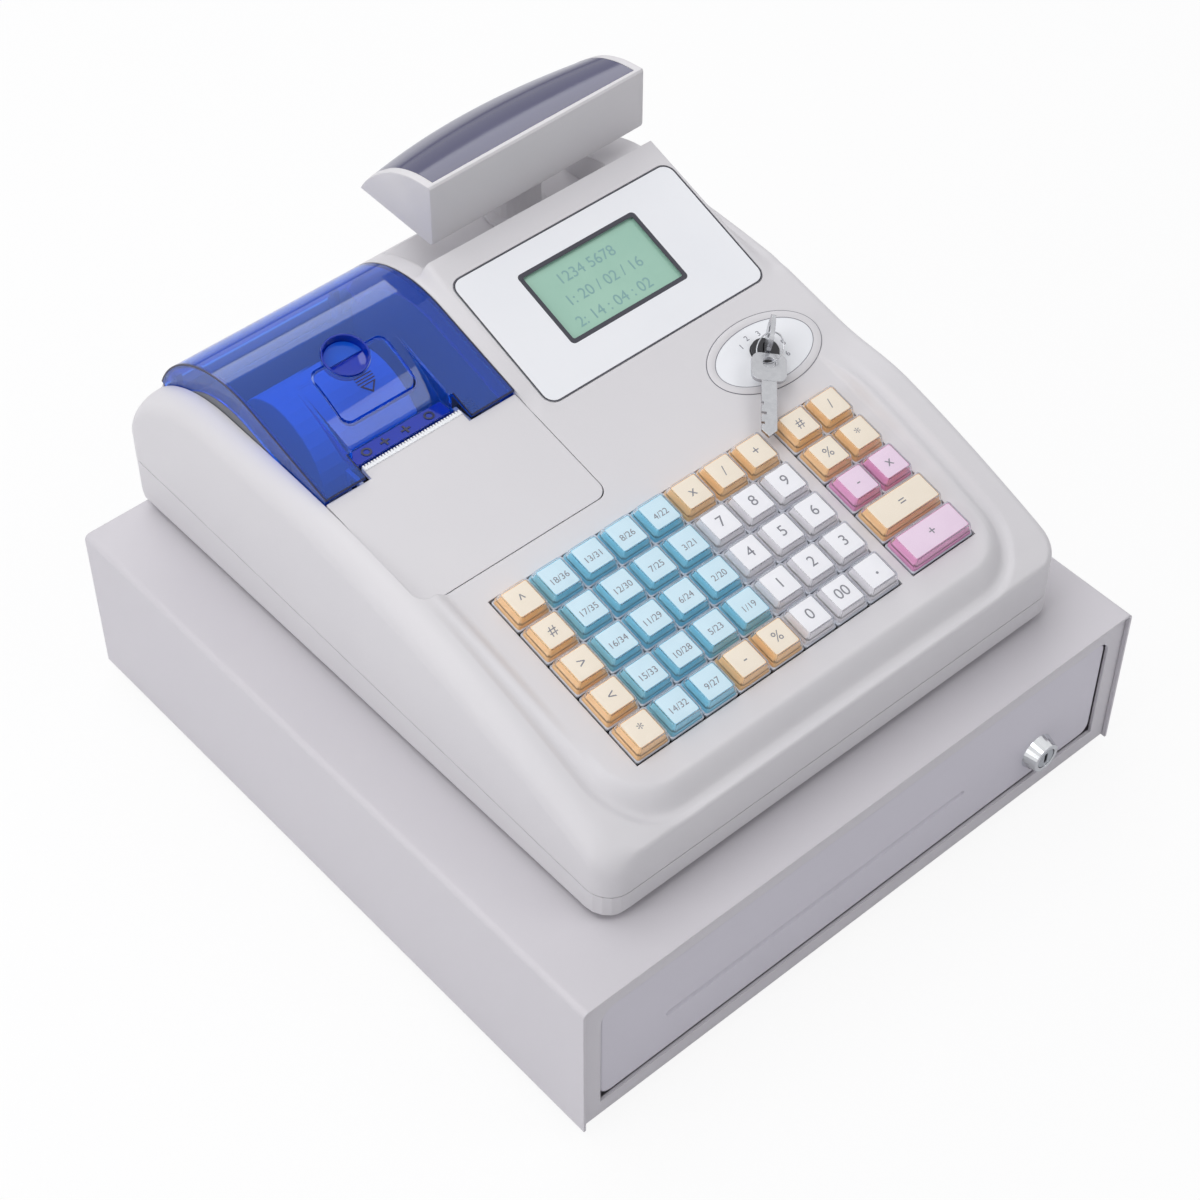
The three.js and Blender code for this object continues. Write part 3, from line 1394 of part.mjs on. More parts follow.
// Panel in front of the hood, ending in the serrated tear bar
function printerPanel() {
  const alongAt = (y) => (y - keyEdgeY) / Math.cos(deckTilt);
  const startAlong = alongAt(printerFrontY) + lineGap;
  const endAlong = alongAt(hoodFrontY) - lineGap;
  const tipAlong = alongAt(tearBarY);
  const left = printerLeftX + lineGap;
  const right = printerRightX - lineGap;
  const teeth = [];
  const toothWidth = tearBarWidth / toothCount;
  for (let i = 0; i < toothCount; i += 1) {
    const x = tearBarLeftX + tearBarWidth - i * toothWidth;
    teeth.push([x, tipAlong - toothDepth], [x - toothWidth / 2, tipAlong]);
  }
  teeth.push([tearBarLeftX, tipAlong - toothDepth]);
  const rounded = roundedRectangle(
    left, right, startAlong, endAlong, [printerCorner, printerCorner, 0, 0],
  ).slice(0, -2);
  const outline = [
    ...rounded, [right, endAlong], [tearBarLeftX + tearBarWidth, endAlong], ...teeth,
    [tearBarLeftX, endAlong], [left, endAlong],
  ];
  return alongZ(outline, -panelThickness, 0);
}

function printerMechanism() {
  const half = platenLength / 2 + fitGap;
  const backY = platenY - platenRadius - 2 * fitGap;
  const body = block(
    paperCentreX - half, paperCentreX + half, backY - mechanismLength, backY,
    tubFloorTop + fitGap, platenHeight - platenRadius,
  );
  const sideTop = platenHeight + platenShaftRadius + mechanismWall;
  const sides = [-half - mechanismWall, half].map((x) => alongX([
    [backY - mechanismLength, tubFloorTop + fitGap], [platenY + platenRadius, tubFloorTop + fitGap],
    [platenY + platenRadius, sideTop], [backY, sideTop],
    [backY - mechanismLength, platenHeight - platenRadius],
  ], paperCentreX + x, paperCentreX + x + mechanismWall));
  const shaftHole = bar(
    'x', platenShaftRadius + fitGap, 2 * (half + 2 * mechanismWall),
    [paperCentreX - half - 2 * mechanismWall, platenY, platenHeight], smallSides,
  );
  return cut(join(body, ...sides), shaftHole);
}

function platenRoller() {
  const half = platenLength / 2;
  const roller = bar('x', platenRadius, platenLength, [-half, 0, 0], roundSides);
  const shaftHalf = half + fitGap + mechanismWall + fitGap;
  const shaft = bar('x', platenShaftRadius, 2 * shaftHalf + gearWidth, [-shaftHalf, 0, 0], smallSides);
  const pitchRadius = (gearTeeth * gearModule) / 2;
  const outline = [];
  for (let i = 0; i < gearTeeth; i += 1) {
    const toothShares = [[0, -1], [0.25, -1], [0.35, 1], [0.65, 1], [0.75, -1]];
    for (const [share, out] of toothShares) {
      const angle = ((i + share) / gearTeeth) * 2 * Math.PI;
      const radius = pitchRadius + out * gearModule;
      outline.push([radius * Math.cos(angle), radius * Math.sin(angle)]);
    }
  }
  const gear = alongX(outline, shaftHalf, shaftHalf + gearWidth);
  return join(roller, shaft, gear);
}

function paperRoll() {
  const half = paperWidth / 2;
  const profile = [
    [rollCoreRadius, -half], [rollRadius - fitGap, -half], [rollRadius, -half + fitGap],
    [rollRadius, half - fitGap], [rollRadius - fitGap, half], [rollCoreRadius, half], [rollCoreRadius, -half],
  ];
  return new THREE.LatheGeometry(vectors(profile), fineSides).rotateZ(Math.PI / 2);
}

// Display: flat panel over the module
function displayWindow() {
  const sheetOutline = roundedRectangle(
    windowLeftX, windowLeftX + windowWidth, 0, windowLength, windowCorner, 8,
  );
  const under = -windowRecess;
  return alongZ(sheetOutline, under, under + windowThickness);
}

function lcdModule() {
  const under = -windowRecess - fitGap;
  const boardTop = -caseWall * Math.SQRT2 - fitGap;
  return join(
    block(lcdLeftX, lcdLeftX + lcdWidth, lcdStart, lcdStart + lcdLength, boardTop - lcdBezel / 2, under),
    block(
      lcdLeftX - lcdBezel, lcdLeftX + lcdWidth + lcdBezel,
      lcdStart - lcdBezel, lcdStart + lcdLength + lcdBezel,
      -lcdDepth, boardTop,
    ),
  );
}

// Customer display on its mast, turning about the vertical
const pod = new THREE.Group();
pod.position.set(podCentreX, mastY, 0);
pod.rotation.z = radians(podYawDegrees);
register.add(pod);
const podCurve = new THREE.SplineCurve(vectors(podTopShares));

// Points of the bowed top line from the rear tip to the front edge, moved inward by a thickness
function podLine(x, from, to, inward) {
  const bow = podBow * (1 - ((2 * x) / podWidth) ** 2);
  const at = (t) => {
    const point = podCurve.getPoint(t);
    return new THREE.Vector2(-point.x * (podDepth + bow), podLift + point.y * podHeight);
  };
  return Array.from({ length: podLineSteps + 1 }, (_, i) => {
    const t = mix(from, to, i / podLineSteps);
    const ahead = at(Math.min(t + podLineStep, 1)).sub(at(Math.max(t - podLineStep, 0))).normalize();
    const point = at(t);
    return [point.x + ahead.y * inward, point.y - ahead.x * inward];
  });
}

function podLoft(halfLength, ring) {
  const stations = between(-halfLength, halfLength, podStations);
  const sections = stations.map((x) => ring(x).map(([depth, z]) => [depth, x, z]));
  return loft(sections).rotateZ(-Math.PI / 2).translate(0, -podFrontToMast, 0);
}

function podHousing() {
  const body = podLoft(podWidth / 2, (x) => [
    ...podLine(x, 0, 1, 0), [0, podLift + podWall], [-podWall, podLift],
  ]);
  const hollow = podLoft(podWidth / 2 - podWall, (x) => [
    [-podDepth * podFloorShare, podLift + podWall],
    ...podLine(x, podHollowShare, 1 - podFrontShare, podWall + podWindowThickness),
    [-podWall, podLift + podWall + fitGap], [-podWall - fitGap, podLift + podWall],
  ]);
  const seat = podLoft(podWidth / 2 - podRim + fitGap, (x) => [
    ...podLine(x, podRimShare - podSeatShare, 1 - podRimShare + podSeatShare, -cutOverrun),
    ...podLine(x, podRimShare - podSeatShare, 1 - podRimShare + podSeatShare, podWindowThickness + fitGap)
      .reverse(),
  ]);
  const neckHole = bar('z', mastNeckRadius + fitGap, podWall + 2 * cutOverrun, [0, 0, podLift - cutOverrun]);
  return cut(body, hollow, seat, neckHole);
}

function podWindow() {
  return podLoft(podWidth / 2 - podRim, (x) => [
    ...podLine(x, podRimShare, 1 - podRimShare, 0),
    ...podLine(x, podRimShare, 1 - podRimShare, podWindowThickness).reverse(),
  ]);
}

function podMast() {
  const capBottom = podLift + podWall + fitGap;
  const profile = [
    [mastRadius - mastWall, bayFloorHeight], [mastFlangeRadius, bayFloorHeight],
    [mastFlangeRadius, bayFloorHeight + mastFlangeHeight],
    [mastRadius, bayFloorHeight + 2 * mastFlangeHeight],
    [mastRadius, podLift - fitGap], [mastNeckRadius, podLift - fitGap], [mastNeckRadius, capBottom],
    [mastNeckRadius + podWall, capBottom], [mastNeckRadius + podWall, capBottom + podWall],
    [mastRadius - mastWall * 2, capBottom + podWall], [mastRadius - mastWall * 2, podLift - mastWall],
    [mastRadius - mastWall, podLift - mastWall], [mastRadius - mastWall, bayFloorHeight],
  ];
  return new THREE.LatheGeometry(vectors(profile), roundSides).rotateX(Math.PI / 2);
}

// Mode switch: oval plate, barrel with a keyway, and a flat key standing in it
function modeBarrel() {
  const barrel = bar(
    'z', modeBarrelRadius, modeBarrelDepth + modeBarrelRise, [0, 0, -modeBarrelDepth], roundSides,
  );
  const half = bladeWidth / 2 + fitGap;
  const thick = bladeThickness / 2 + fitGap;
  const collar = bar('z', modeBarrelRadius + keySheet, caseWall, [0, 0, -modeBarrelDepth], roundSides);
  const slotDepth = bladeLength + bowLength - modeKeyRise + fitGap;
  const slot = block(-half, half, -thick, thick, -slotDepth, modeBarrelRise + cutOverrun);
  return cut(join(barrel, collar), slot).rotateZ(radians(modeKeyTurnDegrees));
}

// The hole in the bow of a key
const bowHoleAlong = bowHoleInset - bladeLength - bowLength;

// Key in its own plane: blade along -Y from the tip, bow behind it, lying flat
function flatKey() {
  const half = keySheet / 2;
  const bow = alongZ(roundedRectangle(
    -bowWidth / 2, bowWidth / 2, -bladeLength - bowLength, -bladeLength, bowCorner,
  ), -half, half);
  const blade = alongZ([
    [-bladeWidth / 2, -bladeLength - keySheet], [bladeWidth / 2, -bladeLength - keySheet],
    [bladeWidth / 2, -bladeWidth / 2], [0, 0], [-bladeWidth / 2, -bladeWidth / 2],
  ], -bladeThickness / 2, bladeThickness / 2);
  const hole = bar(
    'z', bowHoleRadius, keySheet + 2 * cutOverrun, [0, bowHoleAlong, -half - cutOverrun], roundSides,
  );
  const bits = bitShares.map(([start, depth]) => block(
    bladeWidth / 2 - depth * bladeWidth, bladeWidth, -bladeLength * start - bladeThickness,
    -bladeLength * start, -half - cutOverrun, half + cutOverrun,
  ));
  return cut(join(bow, blade), hole, ...bits);
}

const modeKeyMatrix = new THREE.Matrix4().makeRotationZ(radians(modeKeyTurnDegrees))
  .multiply(new THREE.Matrix4().makeRotationX(-Math.PI / 2))
  .setPosition(modeCentreX, modeCentreAlong, modeKeyRise - bladeLength - bowLength);
const spareLift = spareTipRise + bladeThickness / 2;
const spareKeyMatrix = new THREE.Matrix4().makeTranslation(spareTipX, spareTipAlong, spareLift)
  .multiply(new THREE.Matrix4().makeRotationZ(radians(spareTurnDegrees)))
  .multiply(new THREE.Matrix4().makeRotationX(-radians(spareTiltDegrees)));
const modeHole = new THREE.Vector3(0, bowHoleAlong, 0).applyMatrix4(modeKeyMatrix);
const spareHole = new THREE.Vector3(0, bowHoleAlong, 0).applyMatrix4(spareKeyMatrix);

function keyRing() {
  const link = spareHole.clone().sub(modeHole).normalize();
  const firstNormal = new THREE.Vector3(0, 0, 1).transformDirection(modeKeyMatrix);
  const secondNormal = new THREE.Vector3(0, 0, 1).transformDirection(spareKeyMatrix);
  if (firstNormal.dot(secondNormal) < 0) firstNormal.negate();
  const through = firstNormal.add(secondNormal);
  through.addScaledVector(link, -through.dot(link)).normalize();
  const axis = new THREE.Vector3().crossVectors(link, through);
  const turn = new THREE.Matrix4().makeBasis(link, through, axis);
  turn.setPosition(modeHole.clone().add(spareHole).divideScalar(2));
  return new THREE.TorusGeometry(ringRadius, ringWire / 2, ringWireSides, fineSides).applyMatrix4(turn);
}

piece('register_base', registerBase(), warmGreyCase, register);
piece('key_plate', keyPlate(), warmGreyCase, deck);
const keyColours = { white: whiteKey, cream: creamKey, pink: pinkKey };
for (const { name, columns, colour, place } of movingKeys) {
  const reach = -plateTop - keySkirtDrop + stemLength;
  piece(name, join(keyBody(columns, 1), keyStem(reach)), keyColours[colour], deck, place);
}
piece('printer_panel', printerPanel(), warmGreyCase, deck);
piece('printer_tub', printerTub(), blackPlastic, register);
piece('printer_hood', printerHood(), blueClear, register);
piece('hood_latch', hoodLatch(), blueClear, register);
piece('printer_mechanism', printerMechanism(), blackPlastic, register);
piece('platen_roller', platenRoller(), blackRubber, register, [paperCentreX, platenY, platenHeight]);
piece('paper_roll', paperRoll(), paper, register, [paperCentreX, rollY, rollHeight]);
piece('display_window', displayWindow(), whiteFilm, brow);
piece('lcd_module', lcdModule(), lcdGreen, brow);
piece('pod_housing', podHousing(), warmGreyCase, pod);
piece('pod_window', podWindow(), smokedClear, pod);
piece('pod_mast', podMast(), warmGreyCase, register, [podCentreX, mastY, 0]);
piece('mode_plate', cut(
  oval(modeHalfWidth, modeHalfLength, -modePlateRecess, modePlateThickness - modePlateRecess),
  bar('z', modeBarrelRadius + fitGap, 2 * caseWall, [modeCentreX, modeCentreAlong, -caseWall]),
), whiteFilm, deck);
piece('mode_lock_barrel', modeBarrel(), blackPlastic, deck, [modeCentreX, modeCentreAlong, 0]);
piece('mode_key', flatKey().applyMatrix4(modeKeyMatrix), chrome, deck);
piece('spare_key', flatKey().applyMatrix4(spareKeyMatrix), chrome, deck);
piece('key_ring', keyRing(), chrome, deck);

const machine = new THREE.Group();
machine.add(cabinet, register);
machine.position.y = -(caseSetBack + caseDepth + drawerFaceY - fitGap - lockBezelReach) / 2;
export default machine;
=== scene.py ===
"""Electronic cash register on its cash drawer cabinet, in a plain pale studio.

All sizes are millimetres until they go into a mesh or a shader, which are in metres.
The register's own frame has its origin at the middle of its front edge, on the cabinet's top.
"""
import math

import bmesh
import bpy
import numpy as np
from mathutils import Matrix, Vector


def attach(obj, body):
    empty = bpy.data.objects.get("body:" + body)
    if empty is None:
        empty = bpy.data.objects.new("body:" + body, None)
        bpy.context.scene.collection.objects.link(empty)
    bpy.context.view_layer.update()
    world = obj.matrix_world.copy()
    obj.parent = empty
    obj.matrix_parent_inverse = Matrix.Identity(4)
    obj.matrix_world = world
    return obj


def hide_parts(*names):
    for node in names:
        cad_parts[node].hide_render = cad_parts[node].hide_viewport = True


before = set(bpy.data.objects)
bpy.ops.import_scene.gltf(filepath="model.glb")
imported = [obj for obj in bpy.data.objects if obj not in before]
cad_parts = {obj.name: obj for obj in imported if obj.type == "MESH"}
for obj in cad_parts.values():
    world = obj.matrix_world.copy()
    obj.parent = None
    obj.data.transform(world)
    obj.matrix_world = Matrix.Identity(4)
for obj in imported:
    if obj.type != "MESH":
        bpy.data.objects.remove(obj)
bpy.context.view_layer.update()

MM = 0.001

# Frames of the machine
SHIFT_Y = -178.85
FOOT = 6.0
CABINET_HEIGHT = 86.7
REGISTER_AT = (4.25, 25 + SHIFT_Y, FOOT + CABINET_HEIGHT)
DECK_TILT = math.radians(12.9)
BROW_TILT = math.radians(20.0)
KEY_EDGE_Y, KEY_EDGE_Z = 25.3, 53.3
BROW_START = 180.0


def turn_x(angle):
    """Rotation about X."""
    return Matrix.Rotation(angle, 4, "X")


register_frame = Matrix.Translation(REGISTER_AT)
deck_frame = register_frame @ Matrix.Translation((0, KEY_EDGE_Y, KEY_EDGE_Z)) @ turn_x(DECK_TILT)
brow_foot = KEY_EDGE_Z + (BROW_START - KEY_EDGE_Y) * math.tan(DECK_TILT)
brow_frame = register_frame @ Matrix.Translation((0, BROW_START, brow_foot)) @ turn_x(BROW_TILT)


# Camera, solved from the straight edges of the cabinet and the register
CAMERA_DEGREES = (-41.4725, 47.5140, 0.2396)
CAMERA_AT = (-563.5, -459.7 + SHIFT_Y, 996.9 + FOOT)
SENSOR, FOCAL_PIXELS, PHOTO_PIXELS = 36.0, 2715.05, 1200.0


def place_camera():
    """Camera from its azimuth, elevation and roll: unit vectors back, right and up."""
    azimuth, elevation, roll = (math.radians(v) for v in CAMERA_DEGREES)
    back = Vector((
        math.sin(azimuth) * math.cos(elevation),
        -math.cos(azimuth) * math.cos(elevation),
        math.sin(elevation),
    ))
    level = Vector((0, 0, 1)).cross(back).normalized()
    upright = back.cross(level)
    right = math.cos(roll) * level + math.sin(roll) * upright
    up = -math.sin(roll) * level + math.cos(roll) * upright
    data = bpy.data.cameras.new("studio_camera")
    data.sensor_width = SENSOR
    data.lens = SENSOR * FOCAL_PIXELS / PHOTO_PIXELS
    camera = bpy.data.objects.new("studio_camera", data)
    camera.matrix_world = Matrix((right, up, back)).transposed().to_4x4()
    camera.location = Vector(CAMERA_AT) * MM
    bpy.context.scene.collection.objects.link(camera)
    bpy.context.scene.camera = camera


place_camera()


# Shader helpers
def linear(code):
    """sRGB hex to linear red, green, blue and full alpha."""
    parts = np.array([int(code[i:i + 2], 16) / 255 for i in (1, 3, 5)])
    values = np.where(parts <= 0.04045, parts / 12.92, ((parts + 0.055) / 1.055) ** 2.4)
    return (*values, 1.0)


def add(tree, kind, values=None, links=None, **settings):
    """Adds one node with its settings, socket values and links."""
    made = tree.nodes.new("ShaderNode" + kind)
    for key, value in settings.items():
        setattr(made, key, value)
    for socket, value in (values or {}).items():
        made.inputs[socket].default_value = value
    for socket, source in (links or {}).items():
        tree.links.new(source, made.inputs[socket])
    return made


def blank(name):
    """An empty node material and its tree."""
    material = bpy.data.materials.new(name)
    material.use_nodes = True
    material.node_tree.nodes.clear()
    return material, material.node_tree


def surface(name, colours, roughness, patch, grain, depth, edge, metallic=0.0):
    """Common base of the moulded, painted and metal finishes.

    Colour and roughness drift between two values over patches of a given size, a fine
    grain of the given size and depth raises the surface, and edges are rounded by `edge`.
    All lengths are in millimetres.
    """
    material, tree = blank(name)
    place = add(tree, "TexCoord").outputs["Object"]
    drift = add(tree, "TexNoise", {"Scale": 1 / (patch * MM), "Detail": 4.0}, {"Vector": place})
    tint = add(
        tree, "Mix", {6: linear(colours[0]), 7: linear(colours[1])}, {0: drift.outputs["Fac"]},
        data_type="RGBA",
    )
    rough = add(
        tree, "MapRange", {"To Min": roughness[0], "To Max": roughness[1]},
        {"Value": drift.outputs["Fac"]},
    )
    fine = add(tree, "TexNoise", {"Scale": 1 / (grain * MM), "Detail": 2.0}, {"Vector": place})
    rounded = add(tree, "Bevel", {"Radius": edge * MM}, samples=4)
    bump = add(
        tree, "Bump", {"Distance": depth * MM, "Strength": 1.0},
        {"Height": fine.outputs["Fac"], "Normal": rounded.outputs["Normal"]},
    )
    shader = add(
        tree, "BsdfPrincipled", {"Metallic": metallic},
        {"Base Color": tint.outputs[2], "Roughness": rough.outputs["Result"],
         "Normal": bump.outputs["Normal"]},
    )
    add(tree, "OutputMaterial", links={"Surface": shader.outputs["BSDF"]})
    return material


def metal(*finish):
    """The same base for bare and plated metal."""
    return surface(*finish, metallic=1.0)


# Moulded ABS with a fine spark-eroded texture: soft, slightly warm grey, no gloss
case_abs = surface("moulded_abs_spark_texture", ("#d4d2d6", "#d9d7da"), (0.46, 0.54), 60, 0.5, 0.03, 0.5)
# Powder coat on folded steel: fine orange peel, a little glossier than the case
powder_coat = surface("powder_coated_steel", ("#cbc8ce", "#cfccd1"), (0.4, 0.48), 80, 0.9, 0.03, 0.6)
# Smooth stoved paint on the drawer front: cool lilac grey
drawer_paint = surface("stoved_lilac_grey_paint", ("#ccc9d3", "#d0cdd7"), (0.36, 0.42), 90, 1.2, 0.015, 0.5)
# Zinc plating: dull bluish spangle, small patches of different sheen
zinc_plate = metal("zinc_plated_steel", ("#a9adb2", "#bcc0c4"), (0.3, 0.45), 12, 0.8, 0.01, 0.3)
# Drawn spring steel: darker, tighter sheen along the wire
spring_wire = metal("drawn_spring_steel", ("#8e9195", "#9da0a4"), (0.22, 0.32), 6, 0.4, 0.005, 0.1)
# Polished chrome plate: near mirror with a few softer patches from handling
chromed = metal("polished_chrome_plate", ("#d3d5d8", "#dcdee1"), (0.07, 0.13), 5, 0.6, 0.002, 0.25)
# Black ABS of the printer: satin, slightly bluish black
black_abs = surface("moulded_black_abs", ("#1c1c20", "#24242a"), (0.42, 0.5), 30, 0.5, 0.03, 0.4)
# Charcoal styrene till: matt with a faint mottling
till_styrene = surface("moulded_charcoal_styrene", ("#313135", "#39393d"), (0.45, 0.52), 40, 0.6, 0.03, 0.5)
# Moulded rubber feet: dull, with dust-like patches
foot_rubber = surface("moulded_black_rubber", ("#161617", "#1e1e20"), (0.7, 0.8), 10, 0.4, 0.04, 0.6)
# Ground rubber of the platen: finer and duller still
platen_rubber = surface("ground_platen_rubber", ("#1a1a1b", "#222224"), (0.6, 0.7), 8, 0.3, 0.02, 0.3)
# Wound thermal paper: smooth white, fine edge lines
roll_paper = surface("wound_thermal_paper", ("#f1efea", "#f6f4f0"), (0.6, 0.7), 20, 0.3, 0.01, 0.2)


def dress(material, *names):
    """Gives CAD nodes one finish."""
    for name in names:
        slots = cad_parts[name].data.materials
        slots.clear()
        slots.append(material)


# Light and floor: place and size of each lamp in metres, its watts
LAMPS = {
    "overhead_box": ((-0.5, 0.25, 1.8), (1.7, 1.1), 14), "rear_strip": ((0.85, 1.6, 1.25), (1.9, 0.65), 9),
    "left_box": ((-1.7, 0.1, 0.9), (1.2, 1.2), 9), "front_box": ((0.75, -1.0, 1.6), (0.8, 0.9), 5),
}
LAMP_AIM = (0, 0, 0.12)
WORLD_LIGHT, FLOOR_WIDTH, FLOOR_GLOW = 0.42, 12, 0.9


def area_lamp(name, place, size, watts):
    """A soft box at a place in metres, aimed at the middle of the machine."""
    data = bpy.data.lights.new(name, "AREA")
    data.shape = "RECTANGLE"
    data.size, data.size_y = size
    data.energy = watts
    lamp = bpy.data.objects.new(name, data)
    aim = Vector(LAMP_AIM) - Vector(place)
    lamp.matrix_world = Matrix.Translation(place) @ aim.to_track_quat("-Z", "Y").to_matrix().to_4x4()
    bpy.context.scene.collection.objects.link(lamp)


def light_the_studio():
    """Four soft boxes and a pale world."""
    for name, lamp in LAMPS.items():
        area_lamp(name, *lamp)
    world = bpy.data.worlds.new("pale_studio")
    world.use_nodes = True
    tree = world.node_tree
    tree.nodes.clear()
    path = add(tree, "LightPath")
    clear = add(
        tree, "Math", None, {0: path.outputs["Is Glossy Ray"], 1: path.outputs["Is Transmission Ray"]},
        operation="MAXIMUM",
    )
    # Behind clear plastic the matt surfaces get the plain world light, not the white backdrop
    direct = add(tree, "Math", {1: 0.5}, {0: path.outputs["Diffuse Depth"]}, operation="LESS_THAN")
    shown = add(tree, "Math", None, {0: clear.outputs[0], 1: direct.outputs[0]}, operation="MULTIPLY")
    seen = add(
        tree, "Math", None, {0: path.outputs["Is Camera Ray"], 1: shown.outputs[0]}, operation="MAXIMUM",
    )
    plain = add(tree, "Background", {"Color": linear("#f4f4f6"), "Strength": WORLD_LIGHT})
    white = add(tree, "Background", {"Color": (1, 1, 1, 1), "Strength": 1.0})
    mixed = add(
        tree, "MixShader", None,
        {0: seen.outputs[0], 1: plain.outputs[0], 2: white.outputs[0]},
    )
    add(tree, "OutputWorld", None, {"Surface": mixed.outputs[0]})
    bpy.context.scene.world = world
    bpy.context.scene.view_settings.view_transform = "Standard"


def lay_floor():
    """Plain white floor under the machine; the camera sees it nearly white, with the shadow."""
    bpy.ops.mesh.primitive_plane_add(size=FLOOR_WIDTH)
    floor = bpy.context.object
    floor.name = "studio_floor"
    material, tree = blank("matt_white_floor")
    path = add(tree, "LightPath")
    matt = add(tree, "BsdfDiffuse", {"Color": linear("#f2f2f4")})
    glow = add(tree, "Emission", {"Color": (1, 1, 1, 1), "Strength": 1.0})
    share = add(tree, "Math", {1: FLOOR_GLOW}, {0: path.outputs["Is Camera Ray"]}, operation="MULTIPLY")
    mixed = add(
        tree, "MixShader", None, {0: share.outputs[0], 1: matt.outputs[0], 2: glow.outputs[0]},
    )
    add(tree, "OutputMaterial", None, {"Surface": mixed.outputs[0]})
    floor.data.materials.append(material)


light_the_studio()
lay_floor()

# Mesh helpers: every shape is a pair of points (millimetres) and faces
def grid_faces(rows, columns):
    """Quads between rows of points; each row closes on itself."""
    row, column = np.meshgrid(np.arange(rows - 1), np.arange(columns), indexing="ij")
    near = row * columns + column
    beside = row * columns + (column + 1) % columns
    return np.stack([near, beside, beside + columns, near + columns], -1).reshape(-1, 4).tolist()


def stack(rings):
    """Closed body through equal closed rings, with a flat face at each end."""
    rings = np.asarray(rings, float)
    count, corners = rings.shape[:2]
    faces = grid_faces(count, corners)
    last = (count - 1) * corners
    faces.append(list(range(corners))[::-1])
    faces.append(list(range(last, last + corners)))
    return rings.reshape(-1, 3), faces


def merge(*shapes):
    """Several shapes as one."""
    points, faces, first = [], [], 0
    for part_points, part_faces in shapes:
        points.append(part_points)
        faces += [[first + i for i in face] for face in part_faces]
        first += len(part_points)
    return np.concatenate(points), faces


def moved(shape, offset):
    """The same shape at another place."""
    return shape[0] + np.asarray(offset, float), shape[1]


def rounded_ring(half_x, half_y, radius, steps=4):
    """Rounded rectangle outline: a quarter circle of the radius at each corner."""
    angle = np.linspace(0, math.pi / 2, steps + 1)
    quarter = np.c_[np.cos(angle), np.sin(angle)] * radius
    turns = [quarter, quarter[:, ::-1] * (-1, 1), -quarter, quarter[:, ::-1] * (1, -1)]
    centres = [(1, 1), (-1, 1), (-1, -1), (1, -1)]
    corner = np.array([half_x - radius, half_y - radius])
    return np.concatenate([turn + corner * centre for turn, centre in zip(turns, centres)])


def ring_at(outline, z):
    """An outline in X and Y at one height, or at a height for each point."""
    return np.c_[outline, np.broadcast_to(z, len(outline))]


def ellipse(half_x, half_y, centre=(0, 0), sides=48):
    """Outline (xc + a cos t, yc + b sin t) of an ellipse or a circle."""
    angle = np.linspace(0, 2 * math.pi, sides, endpoint=False)
    return np.c_[np.cos(angle) * half_x, np.sin(angle) * half_y] + centre


def revolve(profile, sides=48):
    """Profile of (radius, height) pairs turned about Z, its ends closed by flat faces."""
    return stack([ring_at(ellipse(radius, radius, sides=sides), z) for radius, z in profile])


def finish_piece(
    name, shape, finish, body, place, node=None, sharp=38, weld=True, picks=None,
):
    """Makes a piece of the model; picks gives each face the number of its finish."""
    finishes = finish if isinstance(finish, tuple) else (finish,)
    piece = plain_object(name, shape, place, weld, sharp, finishes, picks)
    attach(piece, body)
    if node:
        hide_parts(node)
    return piece


def tidy(mesh, weld, sharp):
    """Merges doubles, turns faces outward and smooths all but the sharp edges."""
    work = bmesh.new()
    work.from_mesh(mesh)
    if weld:
        bmesh.ops.remove_doubles(work, verts=work.verts, dist=0.00001)
    bmesh.ops.recalc_face_normals(work, faces=work.faces)
    work.to_mesh(mesh)
    work.free()
    mesh.shade_smooth()
    mesh.set_sharp_from_angle(angle=math.radians(sharp))


def plain_object(name, shape, place, weld, sharp, finishes=(), picks=None):
    """A new object: points go to metres in the row frame, normals outward, edges by angle."""
    points, faces = shape
    world = np.c_[points, np.ones(len(points))] @ np.array(place).T
    mesh = bpy.data.meshes.new(name)
    mesh.from_pydata((world[:, :3] * MM).tolist(), [], faces)
    for material in finishes:
        mesh.materials.append(material)
    if picks:
        mesh.polygons.foreach_set("material_index", picks)
    tidy(mesh, weld, sharp)
    made = bpy.data.objects.new(name, mesh)
    bpy.context.scene.collection.objects.link(made)
    return made


def carve(piece, tools, operation="DIFFERENCE", sharp=38):
    """Cuts tools out of a piece, or joins them to it, and keeps the result as its mesh."""
    for shape, place in tools:
        tool = plain_object("tool", shape, place, True, 30)
        cut = piece.modifiers.new("cut", "BOOLEAN")
        cut.operation = operation
        cut.solver = "MANIFOLD"
        cut.object = tool
        graph = bpy.context.evaluated_depsgraph_get()
        result = bpy.data.meshes.new_from_object(piece.evaluated_get(graph))
        piece.modifiers.clear()
        old = piece.data
        piece.data = result
        bpy.data.meshes.remove(old)
        bpy.data.objects.remove(tool)
    piece.data.shade_smooth()
    piece.data.set_sharp_from_angle(angle=math.radians(sharp))


def box(x0, x1, y0, y1, z0, z1):
    """A plain block between two corners."""
    outline = np.array([(x1, y1), (x0, y1), (x0, y0), (x1, y0)], float)
    return stack([ring_at(outline, z0), ring_at(outline, z1)])


